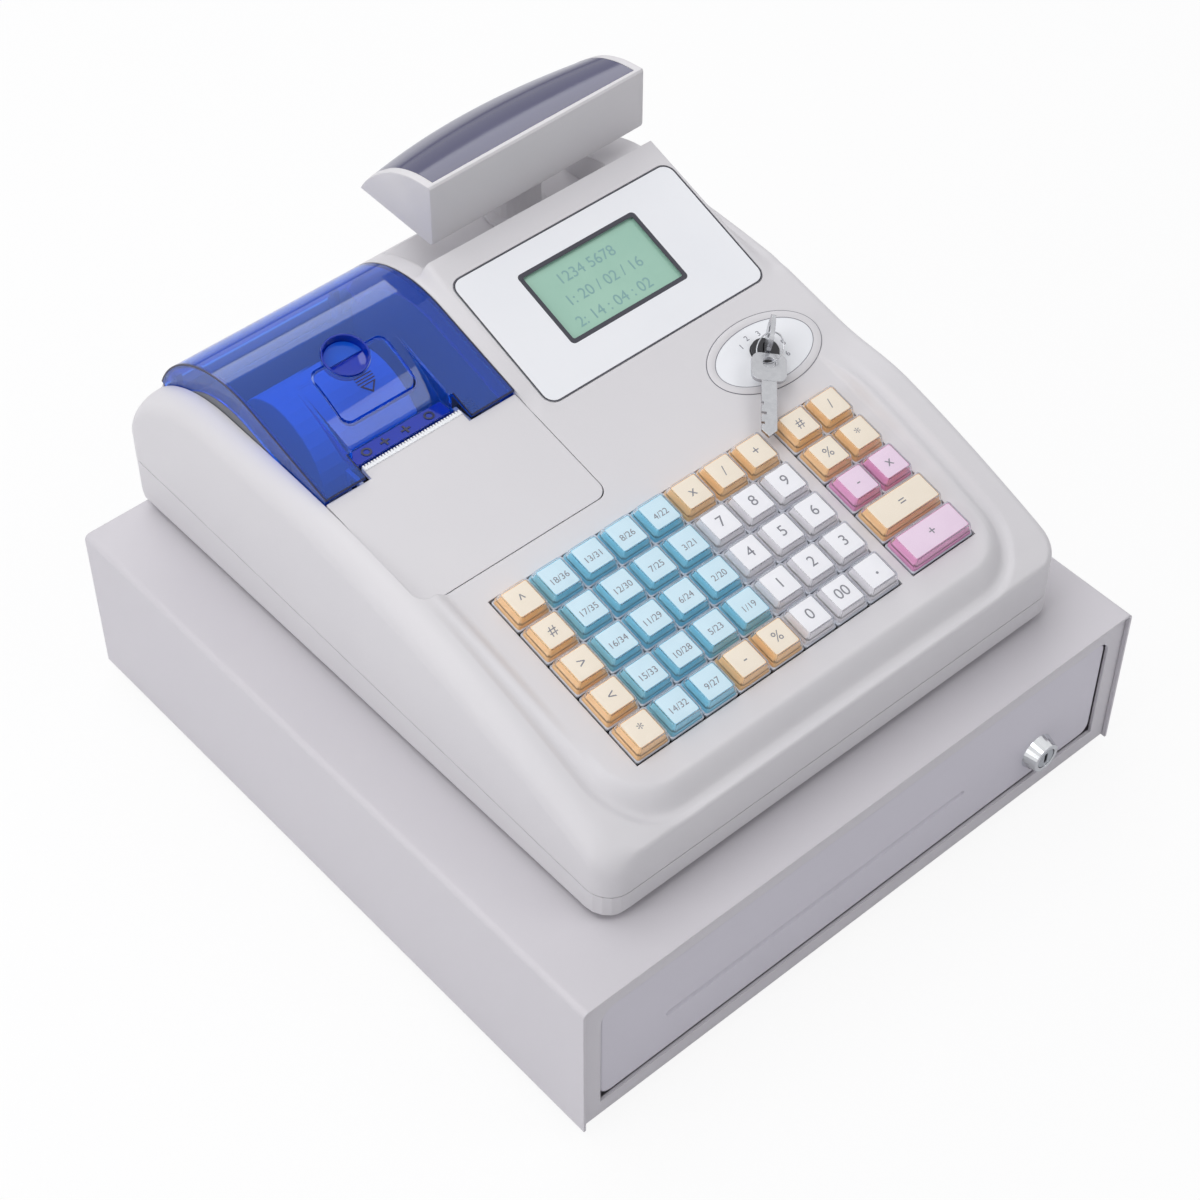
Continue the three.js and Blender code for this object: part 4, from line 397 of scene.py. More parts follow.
def slab(x0, x1, y0, y1, z0, z1, radius, edge=0.0, steps=6):
    """Rounded rectangle plate whose long edges may be rounded too."""
    half_x, half_y = (x1 - x0) / 2, (y1 - y0) / 2
    centre = ((x0 + x1) / 2, (y0 + y1) / 2, 0)
    levels = [(0, z0), (0, z1)]
    if edge:
        angle = np.linspace(0, math.pi / 2, 4)
        lift = [(edge * (1 - math.cos(a)), z1 - edge * (1 - math.sin(a))) for a in angle]
        drop = [(edge * (1 - math.cos(a)), z0 + edge * (1 - math.sin(a))) for a in angle[::-1]]
        levels = drop + lift
    rings = [
        ring_at(rounded_ring(half_x - inset, half_y - inset, max(radius - inset, 0.05), steps), z)
        for inset, z in levels
    ]
    return moved(stack(rings), centre)


# Case: the solid's height functions with the soft trough added, sampled finely
def smooth(start, end, value):
    """Cubic step from 0 at start to 1 at end."""
    share = np.clip((value - start) / (end - start), 0, 1)
    return share * share * (3 - 2 * share)


def mix(a, b, share):
    """Straight blend of two values."""
    return a + (b - a) * share


CASE_WIDTH, CASE_DEPTH, WALL = 270.5, 336.0, 2.6
RIM_HEIGHT, RIM_CREST, RIM_FOOT = 93.3, 265.0, 30.5
RIM_SHARES = np.array([
    [0, 0.388], [0.003, 0.408], [0.012, 0.424], [0.03, 0.45], [0.079, 0.514], [0.226, 0.67],
    [0.374, 0.8], [0.517, 0.892], [0.672, 0.955], [0.8, 0.984], [1, 1],
])
PRINTER_LEFT, PRINTER_RIGHT, PRINTER_FRONT = -122.75, -18.25, 131.0
HOOD_FRONT, ARC_Y, ARC_Z, HOOD_RADIUS = 194.0, 262.0, 50.8, 61.0
HOOD_SLOPE = math.radians(16.8)
HOOD_PIVOT = math.radians(25)
ARC_END = ARC_Y + 56
MODE_AT = (91.0, 127.0)
MAST_AT, MAST_SEAT = (60.0, 286.0), 96.3
# Keyboard plateau: its middle and half size in x and y, its corner, the width of its slope
PLATEAU_AT, PLATEAU_HALF, PLATEAU_CORNER, PLATEAU_FALL = (0.5, 101.5), (88.5, 68.5), 20, 7.5
# Trough round it, then rims, brow and bay; a pair is where a blend starts and ends
TROUGH_DEPTH, TROUGH_OUT, TROUGH_HALF, TROUGH_FADE = 1.9, 8.6, 5, (90, 150)
DECK_SPREAD, SHOULDER_BLEND = (100, 145), (BROW_START, 190)
LEFT_RIM, RIGHT_RIM = (-121.75, -120.75), (122.5, 130)
BROW_LEFT, BROW_BLEND = (PRINTER_RIGHT, -10.5), (0, 3)
BAY_LEFT, BAY_RIGHT, BAY_FRONT = (-9.5, -7), (97.5, 100), (262.5, 265)
FRONT_CORNER, REAR_CORNER, LEFT_EDGE, RIGHT_EDGE, EDGE_SHARE = 13, 10, 12, 4, 0.75
SEAM_FRONT, SEAM_REAR = 15.8, 27.5


def catmull_rom(points, count):
    """Curve through points: each span is a cubic whose end slopes are half the neighbours' span."""
    padded = np.concatenate([[points[0]], points, [points[-1]]])
    share = np.linspace(0, len(points) - 1, count)
    span = np.minimum(share.astype(int), len(points) - 2)
    t = (share - span)[:, None]
    a, b, c, d = (padded[span + i] for i in range(4))
    slope_b, slope_c = (c - a) / 2, (d - b) / 2
    return (
        (2 * b - 2 * c + slope_b + slope_c) * t**3
        + (-3 * b + 3 * c - 2 * slope_b - slope_c) * t**2 + slope_b * t + b
    )


rim_line = catmull_rom(RIM_SHARES * (RIM_CREST, RIM_HEIGHT), 400)


def rim_height(y):
    """Height of the side rim: the curve up to the crest, then a quarter ellipse to the rear."""
    share = np.clip((y - RIM_CREST) / (CASE_DEPTH - RIM_CREST), 0, 1)
    rear = RIM_FOOT + (RIM_HEIGHT - RIM_FOOT) * np.sqrt(1 - share * share)
    return np.where(y > RIM_CREST, rear, np.interp(y, rim_line[:, 0], rim_line[:, 1]))


def deck_height(y):
    """Plane of the keyboard."""
    return KEY_EDGE_Z + (y - KEY_EDGE_Y) * math.tan(DECK_TILT)


def hood_height(y):
    """Flat slope that runs into an arc."""
    tangent_y = ARC_Y - HOOD_RADIUS * math.sin(HOOD_SLOPE)
    tangent_z = ARC_Z + HOOD_RADIUS * math.cos(HOOD_SLOPE)
    reach = np.clip((y - ARC_Y) / HOOD_RADIUS, -1, 1)
    arc = ARC_Z + HOOD_RADIUS * np.sqrt(1 - reach * reach)
    return np.where(y < tangent_y, tangent_z - (tangent_y - y) * math.tan(HOOD_SLOPE), arc)


def cover_height(x, y):
    """Top of the case: rim, plateau, shoulder, brow and bay blended by cubic steps."""
    rim, deck = rim_height(y), deck_height(np.minimum(y, BROW_START))
    beyond = [np.maximum(np.abs(at - PLATEAU_AT[i]) - PLATEAU_HALF[i], 0) for i, at in enumerate((x, y))]
    outside = np.hypot(*beyond) - PLATEAU_CORNER
    plateau = 1 - smooth(0, PLATEAU_FALL, outside)
    hollow = np.maximum(1 - ((outside - TROUGH_OUT) / TROUGH_HALF) ** 2, 0) ** 2
    trough = TROUGH_DEPTH * hollow * (1 - smooth(*TROUGH_FADE, y))
    spread = np.where(x < PRINTER_RIGHT - WALL, 0, smooth(*DECK_SPREAD, y))
    low = mix(rim - trough, deck, np.maximum(plateau, spread) * (1 - smooth(*SHOULDER_BLEND, y)))
    arched = np.where(y < ARC_END, hood_height(y), 0)
    hood = np.where(y > ARC_Y, np.maximum(arched, rim), hood_height(y))
    shoulder = mix(deck, hood, smooth(BROW_START, HOOD_FRONT, y))
    brow_plane = brow_foot + (np.minimum(y, ARC_Y) - BROW_START) * math.tan(BROW_TILT)
    brow = mix(brow_plane, hood, smooth(*BROW_BLEND, y - ARC_Y))
    raised = mix(shoulder, brow, smooth(*BROW_LEFT, x))
    inside = smooth(*LEFT_RIM, x) * (1 - smooth(*RIGHT_RIM, x))
    height = np.where(y < BROW_START, low, mix(low, raised, inside))
    bay = smooth(*BAY_LEFT, x) * (1 - smooth(*BAY_RIGHT, x)) * smooth(*BAY_FRONT, y)
    return np.where(y < BROW_START, low, mix(height, np.minimum(height, MAST_SEAT), bay))


def corner_inset(y, inward):
    """How far the rounded plan corners pull the side walls in at a depth."""
    front, rear = FRONT_CORNER - inward, REAR_CORNER - inward
    near = np.minimum(y - inward, front)
    far = np.minimum(CASE_DEPTH - inward - y, rear)
    return np.maximum(
        front - np.sqrt(np.maximum(front**2 - (front - near) ** 2, 0)),
        rear - np.sqrt(np.maximum(rear**2 - (rear - far) ** 2, 0)),
    )


def spaced(*spans):
    """Places along a line, each span (start, end, count) evenly filled."""
    return np.unique(np.round(np.concatenate([np.linspace(*span) for span in spans]), 4))


def case_body(depths, across, inward, above_seam, edge_steps):
    """Skin of the case: at each depth a section up the left wall, over the top and down the right."""
    y = depths[:, None]
    inset = corner_inset(y, inward) + inward
    left, right = -CASE_WIDTH / 2 + inset, CASE_WIDTH / 2 - inset
    base = seam_height(y) + above_seam

    def height(x):
        if not inward:
            return cover_height(x, y + 0 * x)
        shifts = [(a, b) for a in (-inward, 0, inward) for b in (-inward, 0, inward)]
        return np.min([
            cover_height(x + a, np.clip(y + b + 0 * x, 0, CASE_DEPTH)) for a, b in shifts
        ], 0) - inward

    room = EDGE_SHARE * (height(left) - base)
    left_radius = np.minimum(LEFT_EDGE - inward, room)
    right_radius = np.minimum(RIGHT_EDGE - inward, room)
    angle = np.linspace(0, math.pi / 2, edge_steps, endpoint=False)[None, :]
    left_x = left + left_radius * (1 - np.cos(angle))
    left_z = height(left_x) - left_radius * (1 - np.sin(angle))
    share = (across - across[0]) / (across[-1] - across[0])
    top_x = mix(left + left_radius, right - right_radius, share[None, :])
    top_z = height(top_x)
    right_x = right - right_radius * (1 - np.cos(angle[:, ::-1]))
    right_z = height(right_x) - right_radius * (1 - np.sin(angle[:, ::-1]))
    x = np.concatenate([left, left_x, top_x, right_x, right], 1)
    z = np.concatenate([base, left_z, top_z, right_z, base], 1)
    points = np.stack([x, np.broadcast_to(y, x.shape), z], -1)
    return stack(points[:, ::-1])


def seam_height(y):
    """Line where cover and base meet."""
    return mix(SEAM_FRONT, SEAM_REAR, y / CASE_DEPTH)


KEY_PITCH, KEY_GAP, BLOCK_LEFT, PAD_LEFT = 19.05, 0.8, -96.4, 63.4
KEY_FIELDS = ((BLOCK_LEFT, BLOCK_LEFT + 8 * KEY_PITCH), (PAD_LEFT, PAD_LEFT + 2 * KEY_PITCH))
WINDOW = (-9.75, 121.65, 0.0, 74.0)
LCD = (20.4, 88.1, 20.4, 59.8)
FIT, FILM_CORNER, FILM_DEEP = 0.3, 6, 1.1
WELL_WALL, WELL_GAP, WELL_FOOT, WELL_LEDGE, CUT_LOW, CUT_HIGH = 2.0, 0.5, -7, -1.3, -9, 2
COVER_SEAM, INNER_SEAM = 0.25, -2
PRINTER_REAR, PRINTER_CORNER, LOCK_BORE, MAST_BORE = 320, 6, 6.9, 9
MODE_SEAT = (31.3, 19.8)
# Stations along and across the case, close together where it bends: (start, end, count)
DEPTHS = (
    (0, 1.6, 6), (1.6, 16, 26), (16, 40, 18), (40, 100, 16), (100, 145, 16), (145, 180, 10),
    (180, 194, 12), (194, 262, 26), (262, 268, 8), (268, 320, 24), (320, 333, 14), (333, 335.5, 7),
    (335.5, 336, 4),
)
ACROSS = (
    (-123.25, -122.5, 3), (-122.5, -120.5, 6), (-120.5, -105, 20), (-105, -86, 8), (-86, -20, 14),
    (-20, -5, 14), (-5, 84, 20), (84, 106, 12), (106, 124, 26), (124, 130.3, 8),
)
DEPTHS_INSIDE = (
    (WALL, 13, 6), (13, 40, 8), (40, 180, 16), (180, 200, 8), (200, 258, 10), (258, 268, 6),
    (268, 325, 12), (325, CASE_DEPTH - WALL, 8),
)
ACROSS_INSIDE = ((-123, -80, 14), (-80, -20, 8), (-20, 0, 8), (0, 90, 12), (90, 130, 16))


def key_wells(grow, low, high):
    """Blocks over the two key fields, in the deck's frame."""
    return [
        (box(a - grow, b + grow, -grow, 5 * KEY_PITCH + grow, low, high), deck_frame)
        for a, b in KEY_FIELDS
    ]


def mode_ring(half_x, half_y):
    """Oval outline round the mode switch, in the deck's frame."""
    return ellipse(half_x, half_y, MODE_AT, 96)


def bore(radius, x, y, middle=0):
    """Round cutting plug about a height."""
    reach = 5
    return moved(revolve([(radius, -reach), (radius, reach)]), (x, y, middle))


def register_cover():
    """Top moulding: fine outer skin less its inner skin, the wells, seats and holes."""
    outer = case_body(spaced(*DEPTHS), spaced(*ACROSS), 0, COVER_SEAM, 9)
    inner = case_body(spaced(*DEPTHS_INSIDE), spaced(*ACROSS_INSIDE), WALL, INNER_SEAM, 4)
    cover = finish_piece(
        "case_top_moulding", outer, case_abs, "root", register_frame, "register_cover",
        weld=False,
    )
    carve(cover, [(inner, register_frame)])
    carve(cover, key_wells(WELL_WALL, WELL_FOOT, WELL_LEDGE), "UNION")
    opening = slab(
        PRINTER_LEFT, PRINTER_RIGHT, PRINTER_FRONT, PRINTER_REAR, SEAM_REAR, 126.3, PRINTER_CORNER,
    )
    x0, x1, y0, y1 = WINDOW
    seat = slab(x0 - FIT, x1 + FIT, y0 - FIT, y1 + FIT, -FILM_DEEP, CUT_HIGH, FILM_CORNER + FIT, 0, 8)
    hole = box(LCD[0] - FIT, LCD[1] + FIT, LCD[2] - FIT, LCD[3] + FIT, -4.6, 4.6)
    outline = mode_ring(*MODE_SEAT)
    mode_seat = stack([ring_at(outline, -0.9), ring_at(outline, CUT_HIGH)])
    carve(cover, [
        *key_wells(WELL_GAP, CUT_LOW, CUT_HIGH), (opening, register_frame), (seat, brow_frame),
        (hole, brow_frame), (mode_seat, deck_frame), (bore(LOCK_BORE, *MODE_AT), deck_frame),
        (bore(MAST_BORE, *MAST_AT, MAST_SEAT), register_frame),
    ], sharp=32)


register_cover()

# Clear plastics: slow waves in the surface, their size and depth in millimetres
WAVE_SIZE, WAVE_DEEP = 9, 0.006


def clear_plastic(name, colour, roughness, weight, ior, shadow, edge=0.25):
    """Clear moulding: refracts and shines; lamps pass it with a tint, as they do in a thin wall."""
    material, tree = blank(name)
    place = add(tree, "TexCoord").outputs["Object"]
    wave = add(tree, "TexNoise", {"Scale": 1 / (WAVE_SIZE * MM), "Detail": 2.0}, {"Vector": place})
    relief = {"Height": wave.outputs["Fac"]}
    if edge:
        relief["Normal"] = add(tree, "Bevel", {"Radius": edge * MM}, samples=4).outputs["Normal"]
    bump = add(tree, "Bump", {"Distance": WAVE_DEEP * MM, "Strength": 0.5}, relief)
    mixed = add(
        tree, "BsdfPrincipled",
        {"Base Color": linear(colour), "Roughness": roughness, "IOR": ior,
         "Transmission Weight": weight},
        {"Normal": bump.outputs["Normal"]},
    )
    # Lamp light and light scattered by what lies behind pass straight through, counted once
    path = add(tree, "LightPath")
    lit = add(tree, "BsdfTransparent", {"Color": [mix(value, 1, shadow) for value in linear(colour)]})
    for ray in ("Is Diffuse Ray", "Is Shadow Ray"):
        mixed = add(
            tree, "MixShader", None, {0: path.outputs[ray], 1: mixed.outputs[0], 2: lit.outputs[0]},
        )
    add(tree, "OutputMaterial", None, {"Surface": mixed.outputs[0]})
    return material


# Clear acrylic of the key caps: bright edge lines, sharp small reflections
cap_acrylic = clear_plastic("moulded_clear_acrylic", "#ffffff", 0.04, 1.0, 1.3, 1.0, 0)
# Cobalt blue tinted polycarbonate of the printer hood: deep colour, wet gloss
blue_clear = clear_plastic("moulded_blue_polycarbonate", "#2e7ff2", 0.03, 0.86, 1.5, 0.5)
# Printed ink of digits and marks: dull grey, slightly uneven
grey_ink = surface("screen_printed_grey_ink", ("#6f6f79", "#7c7c86"), (0.5, 0.6), 3, 0.2, 0.002, 0.02)
dark_ink = surface("screen_printed_dark_ink", ("#30303a", "#3c3c46"), (0.5, 0.6), 3, 0.2, 0.002, 0.02)

# Painted highlight: a pale satin ring on the lower edge of a clear cap, where light gathers
cap_edge_highlight = surface("acrylic_edge_painted_highlight", ("#b9bdc8", "#c8ccd6"), (0.25, 0.35), 6, 0.4, 0.005, 0.1)

KEY_LOOKS = {
    # Moulded ABS sides and a printed card under the cap: satin colour, slightly uneven
    "white": (("#dfdde4", "#e6e4ea"), ("#e6e6ec", "#ededf2")),
    "cream": (("#efbc85", "#f4c894"), ("#e6dac8", "#ece1d1")),
    "blue": (("#7cc4e2", "#8acee8"), ("#c0dcea", "#cbe4f0")),
    "pink": (("#dd92c2", "#e5a0cb"), ("#e0c8de", "#e6d0e4")),
}
key_side, key_card = {}, {}
for shade, (side_tones, card_tones) in KEY_LOOKS.items():
    key_side[shade] = surface(f"moulded_{shade}_key_abs", side_tones, (0.38, 0.45), 14, 0.5, 0.02, 0.3)
    key_card[shade] = surface(f"printed_{shade}_card", card_tones, (0.5, 0.6), 9, 0.25, 0.01, 0.1)


# Rings of a key's body, clear cap and the cap's lower edge: inset from the outline, height, corner radius
BODY_ROWS = ((0.9, -2.4, 0.8), (0.9, 0.2, 0.8), (2.3, 5.95, 0.8), (2.4, 6.2, 0.8), (2.6, 6.3, 0.8))
CAP_ROWS = (
    (2.3, 6.5, 0.9), (0.8, -0.6, 0.8), (0.7, -2.6, 0.8), (0, -2.6, 1.0), (0, -0.4, 1.0),
    (1.5, 6.4, 1.3), (1.65, 6.8, 1.3), (2.0, 7.0, 1.1),
)
CAP_EDGE_ROWS = ((0.6, -1.3, 0.8), (-0.05, -1.3, 1.0), (-0.05, -0.1, 1.0), (0.3, 0.1, 0.9))


def key_shape(columns):
    """Coloured pyramid body and clear cap of one key, as rings of rounded rectangles."""
    half_x, half_y = (columns * KEY_PITCH - KEY_GAP) / 2, (KEY_PITCH - KEY_GAP) / 2

    def rings(rows):
        return [ring_at(rounded_ring(half_x - i, half_y - i, r), z) for i, z, r in rows]

    body, cap, edge = (stack(rings(rows)) for rows in (BODY_ROWS, CAP_ROWS, CAP_EDGE_ROWS))
    picks = [0] * (len(body[1]) - 1) + [1] + [2] * len(cap[1]) + [3] * len(edge[1])
    return merge(body, cap, edge), picks


def key_set(name, places, columns, shade, body, node):
    """One piece for all keys of one colour on one body."""
    shape, picks = key_shape(columns)
    shapes = [moved(shape, (x, y, 0)) for x, y in places]
    finishes = (key_side[shade], key_card[shade], cap_acrylic, cap_edge_highlight)
    finish_piece(
        name, merge(*shapes), finishes, body, deck_frame, node, sharp=20,
        weld=False, picks=picks * len(places),
    )


def key_at(left, column, row):
    """Middle of a key in the deck's frame."""
    return left + (column + 0.5) * KEY_PITCH, (row + 0.5) * KEY_PITCH


def marking(name, text, size, x, y, z, finish, body, place):
    """Printed figures: text turned to a mesh, centred on a point and laid on a surface."""
    curve = bpy.data.curves.new(name, "FONT")
    curve.body = text
    curve.size = size
    curve.extrude = INK_THICK / 2
    curve.align_x, curve.align_y = "CENTER", "CENTER"
    helper = bpy.data.objects.new(name, curve)
    bpy.context.scene.collection.objects.link(helper)
    graph = bpy.context.evaluated_depsgraph_get()
    mesh = bpy.data.meshes.new_from_object(helper.evaluated_get(graph))
    bpy.data.objects.remove(helper)
    mesh.transform(Matrix.Scale(MM, 4) @ place @ Matrix.Translation((x, y, z)))
    mesh.materials.clear()
    mesh.materials.append(finish)
    piece = bpy.data.objects.new(name, mesh)
    bpy.context.scene.collection.objects.link(piece)
    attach(piece, body)


# Number keys from the front row back, starting in one column of the block
NUMBER_ROWS, NUMBER_COLUMN = (("0", "00", "."), ("1", "2", "3"), ("4", "5", "6"), ("7", "8", "9")), 5
# Keys of the right pad: column, row, width in pitches, plain mark
PAD_KEYS = {
    "pink_wide": (0.5, 0, 2, "+"), "cream_wide": (0.5, 1, 2, "="), "pink_left": (0, 2, 1, "-"),
    "pink_right": (1, 2, 1, "x"), "cream_left_1": (0, 3, 1, "%"), "cream_right_1": (1, 3, 1, "*"),
    "cream_left_2": (0, 4, 1, "#"), "cream_right_2": (1, 4, 1, "/"),
}
# Plain marks on the function keys, by column and row
FUNCTION_MARKS = {
    (0, 4): "^", (0, 3): "#", (0, 2): ">", (0, 1): "<", (0, 0): "*", (5, 4): "x", (6, 4): "/",
    (7, 4): "+", (3, 0): "-", (4, 0): "%",
}
# Department keys: each column counts up from the front, and each key has a second number
DEPARTMENT_FIRSTS, DEPARTMENTS = {1: 14, 2: 9, 3: 4, 4: 0}, 18
CARD_TOP, INK_THICK, DOT_RADIUS = 6.33, 0.02, 0.65
NUMBER_SIZE, MARK_SIZE, PAIR_SIZE, PAIR_DROP = 7.6, 7, 4.4, 1
# Plate under the keys: sides, depth, height, corner and edge
KEY_PLATE = (-100.4, 105.5, -4, 99.25, -8.9, -7.3, 2, 0.3)


def keyboard():
    """All 48 keys and the plate under them."""
    for row, figures in enumerate(NUMBER_ROWS):
        for column, figure in enumerate(figures, NUMBER_COLUMN):
            node = "key_" + figure.replace(".", "point")
            x, y = key_at(BLOCK_LEFT, column, row)
            key_set(node + "_capped", [(x, y)], 1, "white", node, node)
            if figure == ".":
                rows = ((0, -1), (DOT_RADIUS, -1), (DOT_RADIUS, 1), (0, 1))
                dot = revolve([(radius, side * INK_THICK) for radius, side in rows])
                dot = moved(dot, (x + 0.5, y - 1.5, CARD_TOP))
                finish_piece(node + "_figure", dot, grey_ink, node, deck_frame)
                continue
            marking(node + "_figure", figure, NUMBER_SIZE, x, y, CARD_TOP, grey_ink, node, deck_frame)
    for name, (column, row, columns, mark) in PAD_KEYS.items():
        node, place = "key_pad_" + name, key_at(PAD_LEFT, column, row)
        key_set(node + "_capped", [place], columns, name.split("_")[0], node, node)
        marking(node + "_figure", mark, MARK_SIZE, *place, CARD_TOP, grey_ink, node, deck_frame)
    blue = [(column, row) for row in (4, 3, 2, 1, 0) for column in (1, 2, 3, 4) if row or column < 3]
    for name, shade, places in (
        ("function_keys_capped", "cream", FUNCTION_MARKS), ("department_keys_capped", "blue", blue),
    ):
        middles = [key_at(BLOCK_LEFT, *place) for place in places]
        key_set(name, middles, 1, shade, "root", "key_plate")
    for column, row in blue:
        number = DEPARTMENT_FIRSTS[column] + row
        x, y = key_at(BLOCK_LEFT, column, row)
        marking(
            f"department_figure_{number}", f"{number}/{number + DEPARTMENTS}", PAIR_SIZE, x,
            y - PAIR_DROP, CARD_TOP, grey_ink, "root", deck_frame,
        )
    for number, (place, mark) in enumerate(FUNCTION_MARKS.items(), 1):
        at = key_at(BLOCK_LEFT, *place)
        marking(
            f"function_figure_{number}", mark, MARK_SIZE, *at, CARD_TOP, grey_ink, "root", deck_frame,
        )
    # Painted shade, in part: the plate is black so the gaps between the keys read as dark as the shade down
    # in them
    plate = slab(*KEY_PLATE)
    finish_piece("key_base_plate", plate, black_abs, "root", deck_frame, "key_plate")


keyboard()

# Printer hood: sides, sheet, skirts, the ramp and its ledge, the latch, the bowl, the notch
HOOD_LEFT, HOOD_RIGHT, HOOD_WALL, SKIRT = -122.35, -18.65, 2.0, 13.0
RAMP_LEFT, RAMP_RIGHT, RAMP_REAR, RAMP_FRONT, LEDGE_FRONT = -98.0, -45.0, 246.0, 213.0, 204.4
RAMP_DROP, LEDGE_STEP, RAMP_WALL = 8.5, 0.6, 1.6
LATCH, LATCH_GAP, LATCH_CORNER = (-89.8, -50.4, 222.0, 246.4), 0.9, 4
BOWL_RADIUS, BOWL_SIDES = 11.0, 64
# Finger bowl and its step: shares of the radius and heights, along the outside and back inside
BOWL_ROWS = (
    (0, -6.4), (0.86, -6.2), (0.96, -5.4), (1, 0.15), (0.93, 0.15), (0.88, -4.6), (0.8, -5.0), (0, -5.2),
)
STEP_ROWS = ((0, -5.1), (0.86, -5.1), (0.86, -3.6), (0, -3.2))
NOTCH_LEFT, NOTCH_RIGHT, NOTCH_REAR = -100.7, -42.7, 207.0
EDGE_WIDTH, EDGE_DEPTH, PROUD = 0.5, 0.8, 0.02
TEAR_LEFT, TEAR_WIDTH, TEAR_TEETH, TEAR_TIP = -98.4, 54.0, 35, 201.0
# Heights between which cutting blocks stand, and a depth in front of the hood
BLOCK_LOW, BLOCK_TOP, SLOT_TOP, BLOCK_FRONT = 60, 130, 140, 190
# Marks: relief below and above the surface, radii of rings, arms of crosses
MARK_LOW, MARK_TOP = -0.3, 0.1
RING_OUTER, RING_INNER, CROSS_LONG, CROSS_THIN = 2.5, 1.5, 2.4, 0.5
LEDGE_MARKS_X, LEDGE_MARKS_Y = (-89.5, -79.5, -68.0, -55.0), 208.6


def along_x(outline, x0, x1):
    """A profile in (y, z) drawn out along x; its points are put in counterclockwise order."""
    points = np.asarray(outline, float)
    ahead = np.roll(points, -1, axis=0)
    if (points[:, 0] * ahead[:, 1] - ahead[:, 0] * points[:, 1]).sum() < 0:
        points = points[::-1]
    return stack([section(x, points) for x in (x0, x1)])


def section(x, points):
    """Points (y, z) of one cross section, at one x."""
    return np.c_[np.full(len(points), x), points]


def hood_line(inward):
    """Line of the hood, moved inward: y = yc + (R - i) cos a, z = zc + (R - i) sin a, then a slope."""
    angle = np.linspace(HOOD_PIVOT, math.pi / 2 + HOOD_SLOPE, 28)
    radius = HOOD_RADIUS - inward
    arc = np.c_[ARC_Y + radius * np.cos(angle), ARC_Z + radius * np.sin(angle)]
    front = HOOD_FRONT + inward * math.sin(HOOD_SLOPE)
    return np.vstack([arc, (front, arc[-1, 1] - (arc[-1, 0] - front) * math.tan(HOOD_SLOPE))])


def ramp_height(y):
    """The hood's slope less a growing drop: h(y) - d ((yr - y) / (yr - yf))^2, then a level ledge."""
    at = np.maximum(y, RAMP_FRONT)
    share = np.clip((RAMP_REAR - at) / (RAMP_REAR - RAMP_FRONT), 0, 1)
    return hood_height(at) - RAMP_DROP * share ** 2


def ramp_sheet(front, rear):
    """Closed profile of the ramp between two depths; its ledge lies a small step lower."""
    y = np.linspace(max(front, RAMP_FRONT + 0.8), rear, 18)
    top = np.c_[y, ramp_height(y)]
    under = top[::-1] - (0, HOOD_WALL)
    if front >= RAMP_FRONT:
        return np.vstack([top, under])
    ledge = ramp_height(RAMP_FRONT) - LEDGE_STEP
    low = ledge - HOOD_WALL + LEDGE_STEP
    edge = [(front, low), (front, ledge), (RAMP_FRONT + 0.5, ledge), (RAMP_FRONT + 0.6, ledge + LEDGE_STEP)]
    return np.vstack([edge, top, under, (RAMP_FRONT + 0.5, low)])


def latch_marks(left, right, front, rear):
    """Three fine lines and an open triangle pressed into the latch, pointing to the front."""
    middle, y, span = (left + right) / 2, (front + rear) / 2 - 2.5, 3
    lift = ramp_height(y).item() + 0.05
    slope = math.atan2(ramp_height(y + span).item() - ramp_height(y - span).item(), 2 * span)
    seat = register_frame @ Matrix.Translation((middle, y, lift)) @ turn_x(slope)
    half, thin = 4.6, 0.25
    for number, along in enumerate((3.6, 2.2, 0.8)):
        line = box(-half, half, along - thin, along + thin, MARK_LOW, MARK_TOP)
        finish_piece(f"latch_line_{number}", line, navy_marks_and_edge_shade, "latch", seat)
    outer = np.array([(4.2, -0.4), (-4.2, -0.4), (0, -5.2)])
    inner = outer * 0.68 + (0, -0.62)
    finish_piece("latch_arrow", ring_plate(outer, inner, MARK_LOW, MARK_TOP), navy_marks_and_edge_shade, "latch", seat)


def ring_plate(outline, inner, low, high):
    """A flat band between two outlines with the same number of points."""
    count = len(outline)
    rows = [ring_at(outline, high), ring_at(inner, high), ring_at(inner, low), ring_at(outline, low)]
    faces = [
        (row * count + i, row * count + (i + 1) % count,
         (row + 1) % 4 * count + (i + 1) % count, (row + 1) % 4 * count + i)
        for row in range(4) for i in range(count)
    ]
    return np.concatenate(rows), faces


def ledge_marks():
    """Painted shade: a deep blue strip on the ledge, where the dark gap under it shows; then rings and
    crosses pressed into the ledge behind the tear bar.
    """
    z = ramp_height(RAMP_FRONT).item() - LEDGE_STEP
    strip = slab(
        RAMP_LEFT + 0.8, RAMP_RIGHT - 0.8, LEDGE_FRONT + 0.3, RAMP_FRONT - 0.4, z - 0.6, z + 0.2, 0.8,
    )
    finish_piece("ledge_painted_shade_strip", strip, blue_painted_shade, "hood", register_frame, None)
    ring = ring_plate(
        ellipse(RING_OUTER, RING_OUTER, sides=40), ellipse(RING_INNER, RING_INNER, sides=40),
        MARK_LOW, 0.25,
    )
    cross = merge(
        box(-CROSS_LONG, CROSS_LONG, -CROSS_THIN, CROSS_THIN, MARK_LOW, 0.24),
        box(-CROSS_THIN, CROSS_THIN, -CROSS_LONG, CROSS_LONG, MARK_LOW, 0.25),
    )
    for number, (x, shape) in enumerate(zip(LEDGE_MARKS_X, (ring, cross, cross, ring)), 1):
        seat = register_frame @ Matrix.Translation((x, LEDGE_MARKS_Y, z + 0.2))
        finish_piece(f"ledge_mark_{number}", shape, navy_marks_and_edge_shade, "hood", seat, weld=False)


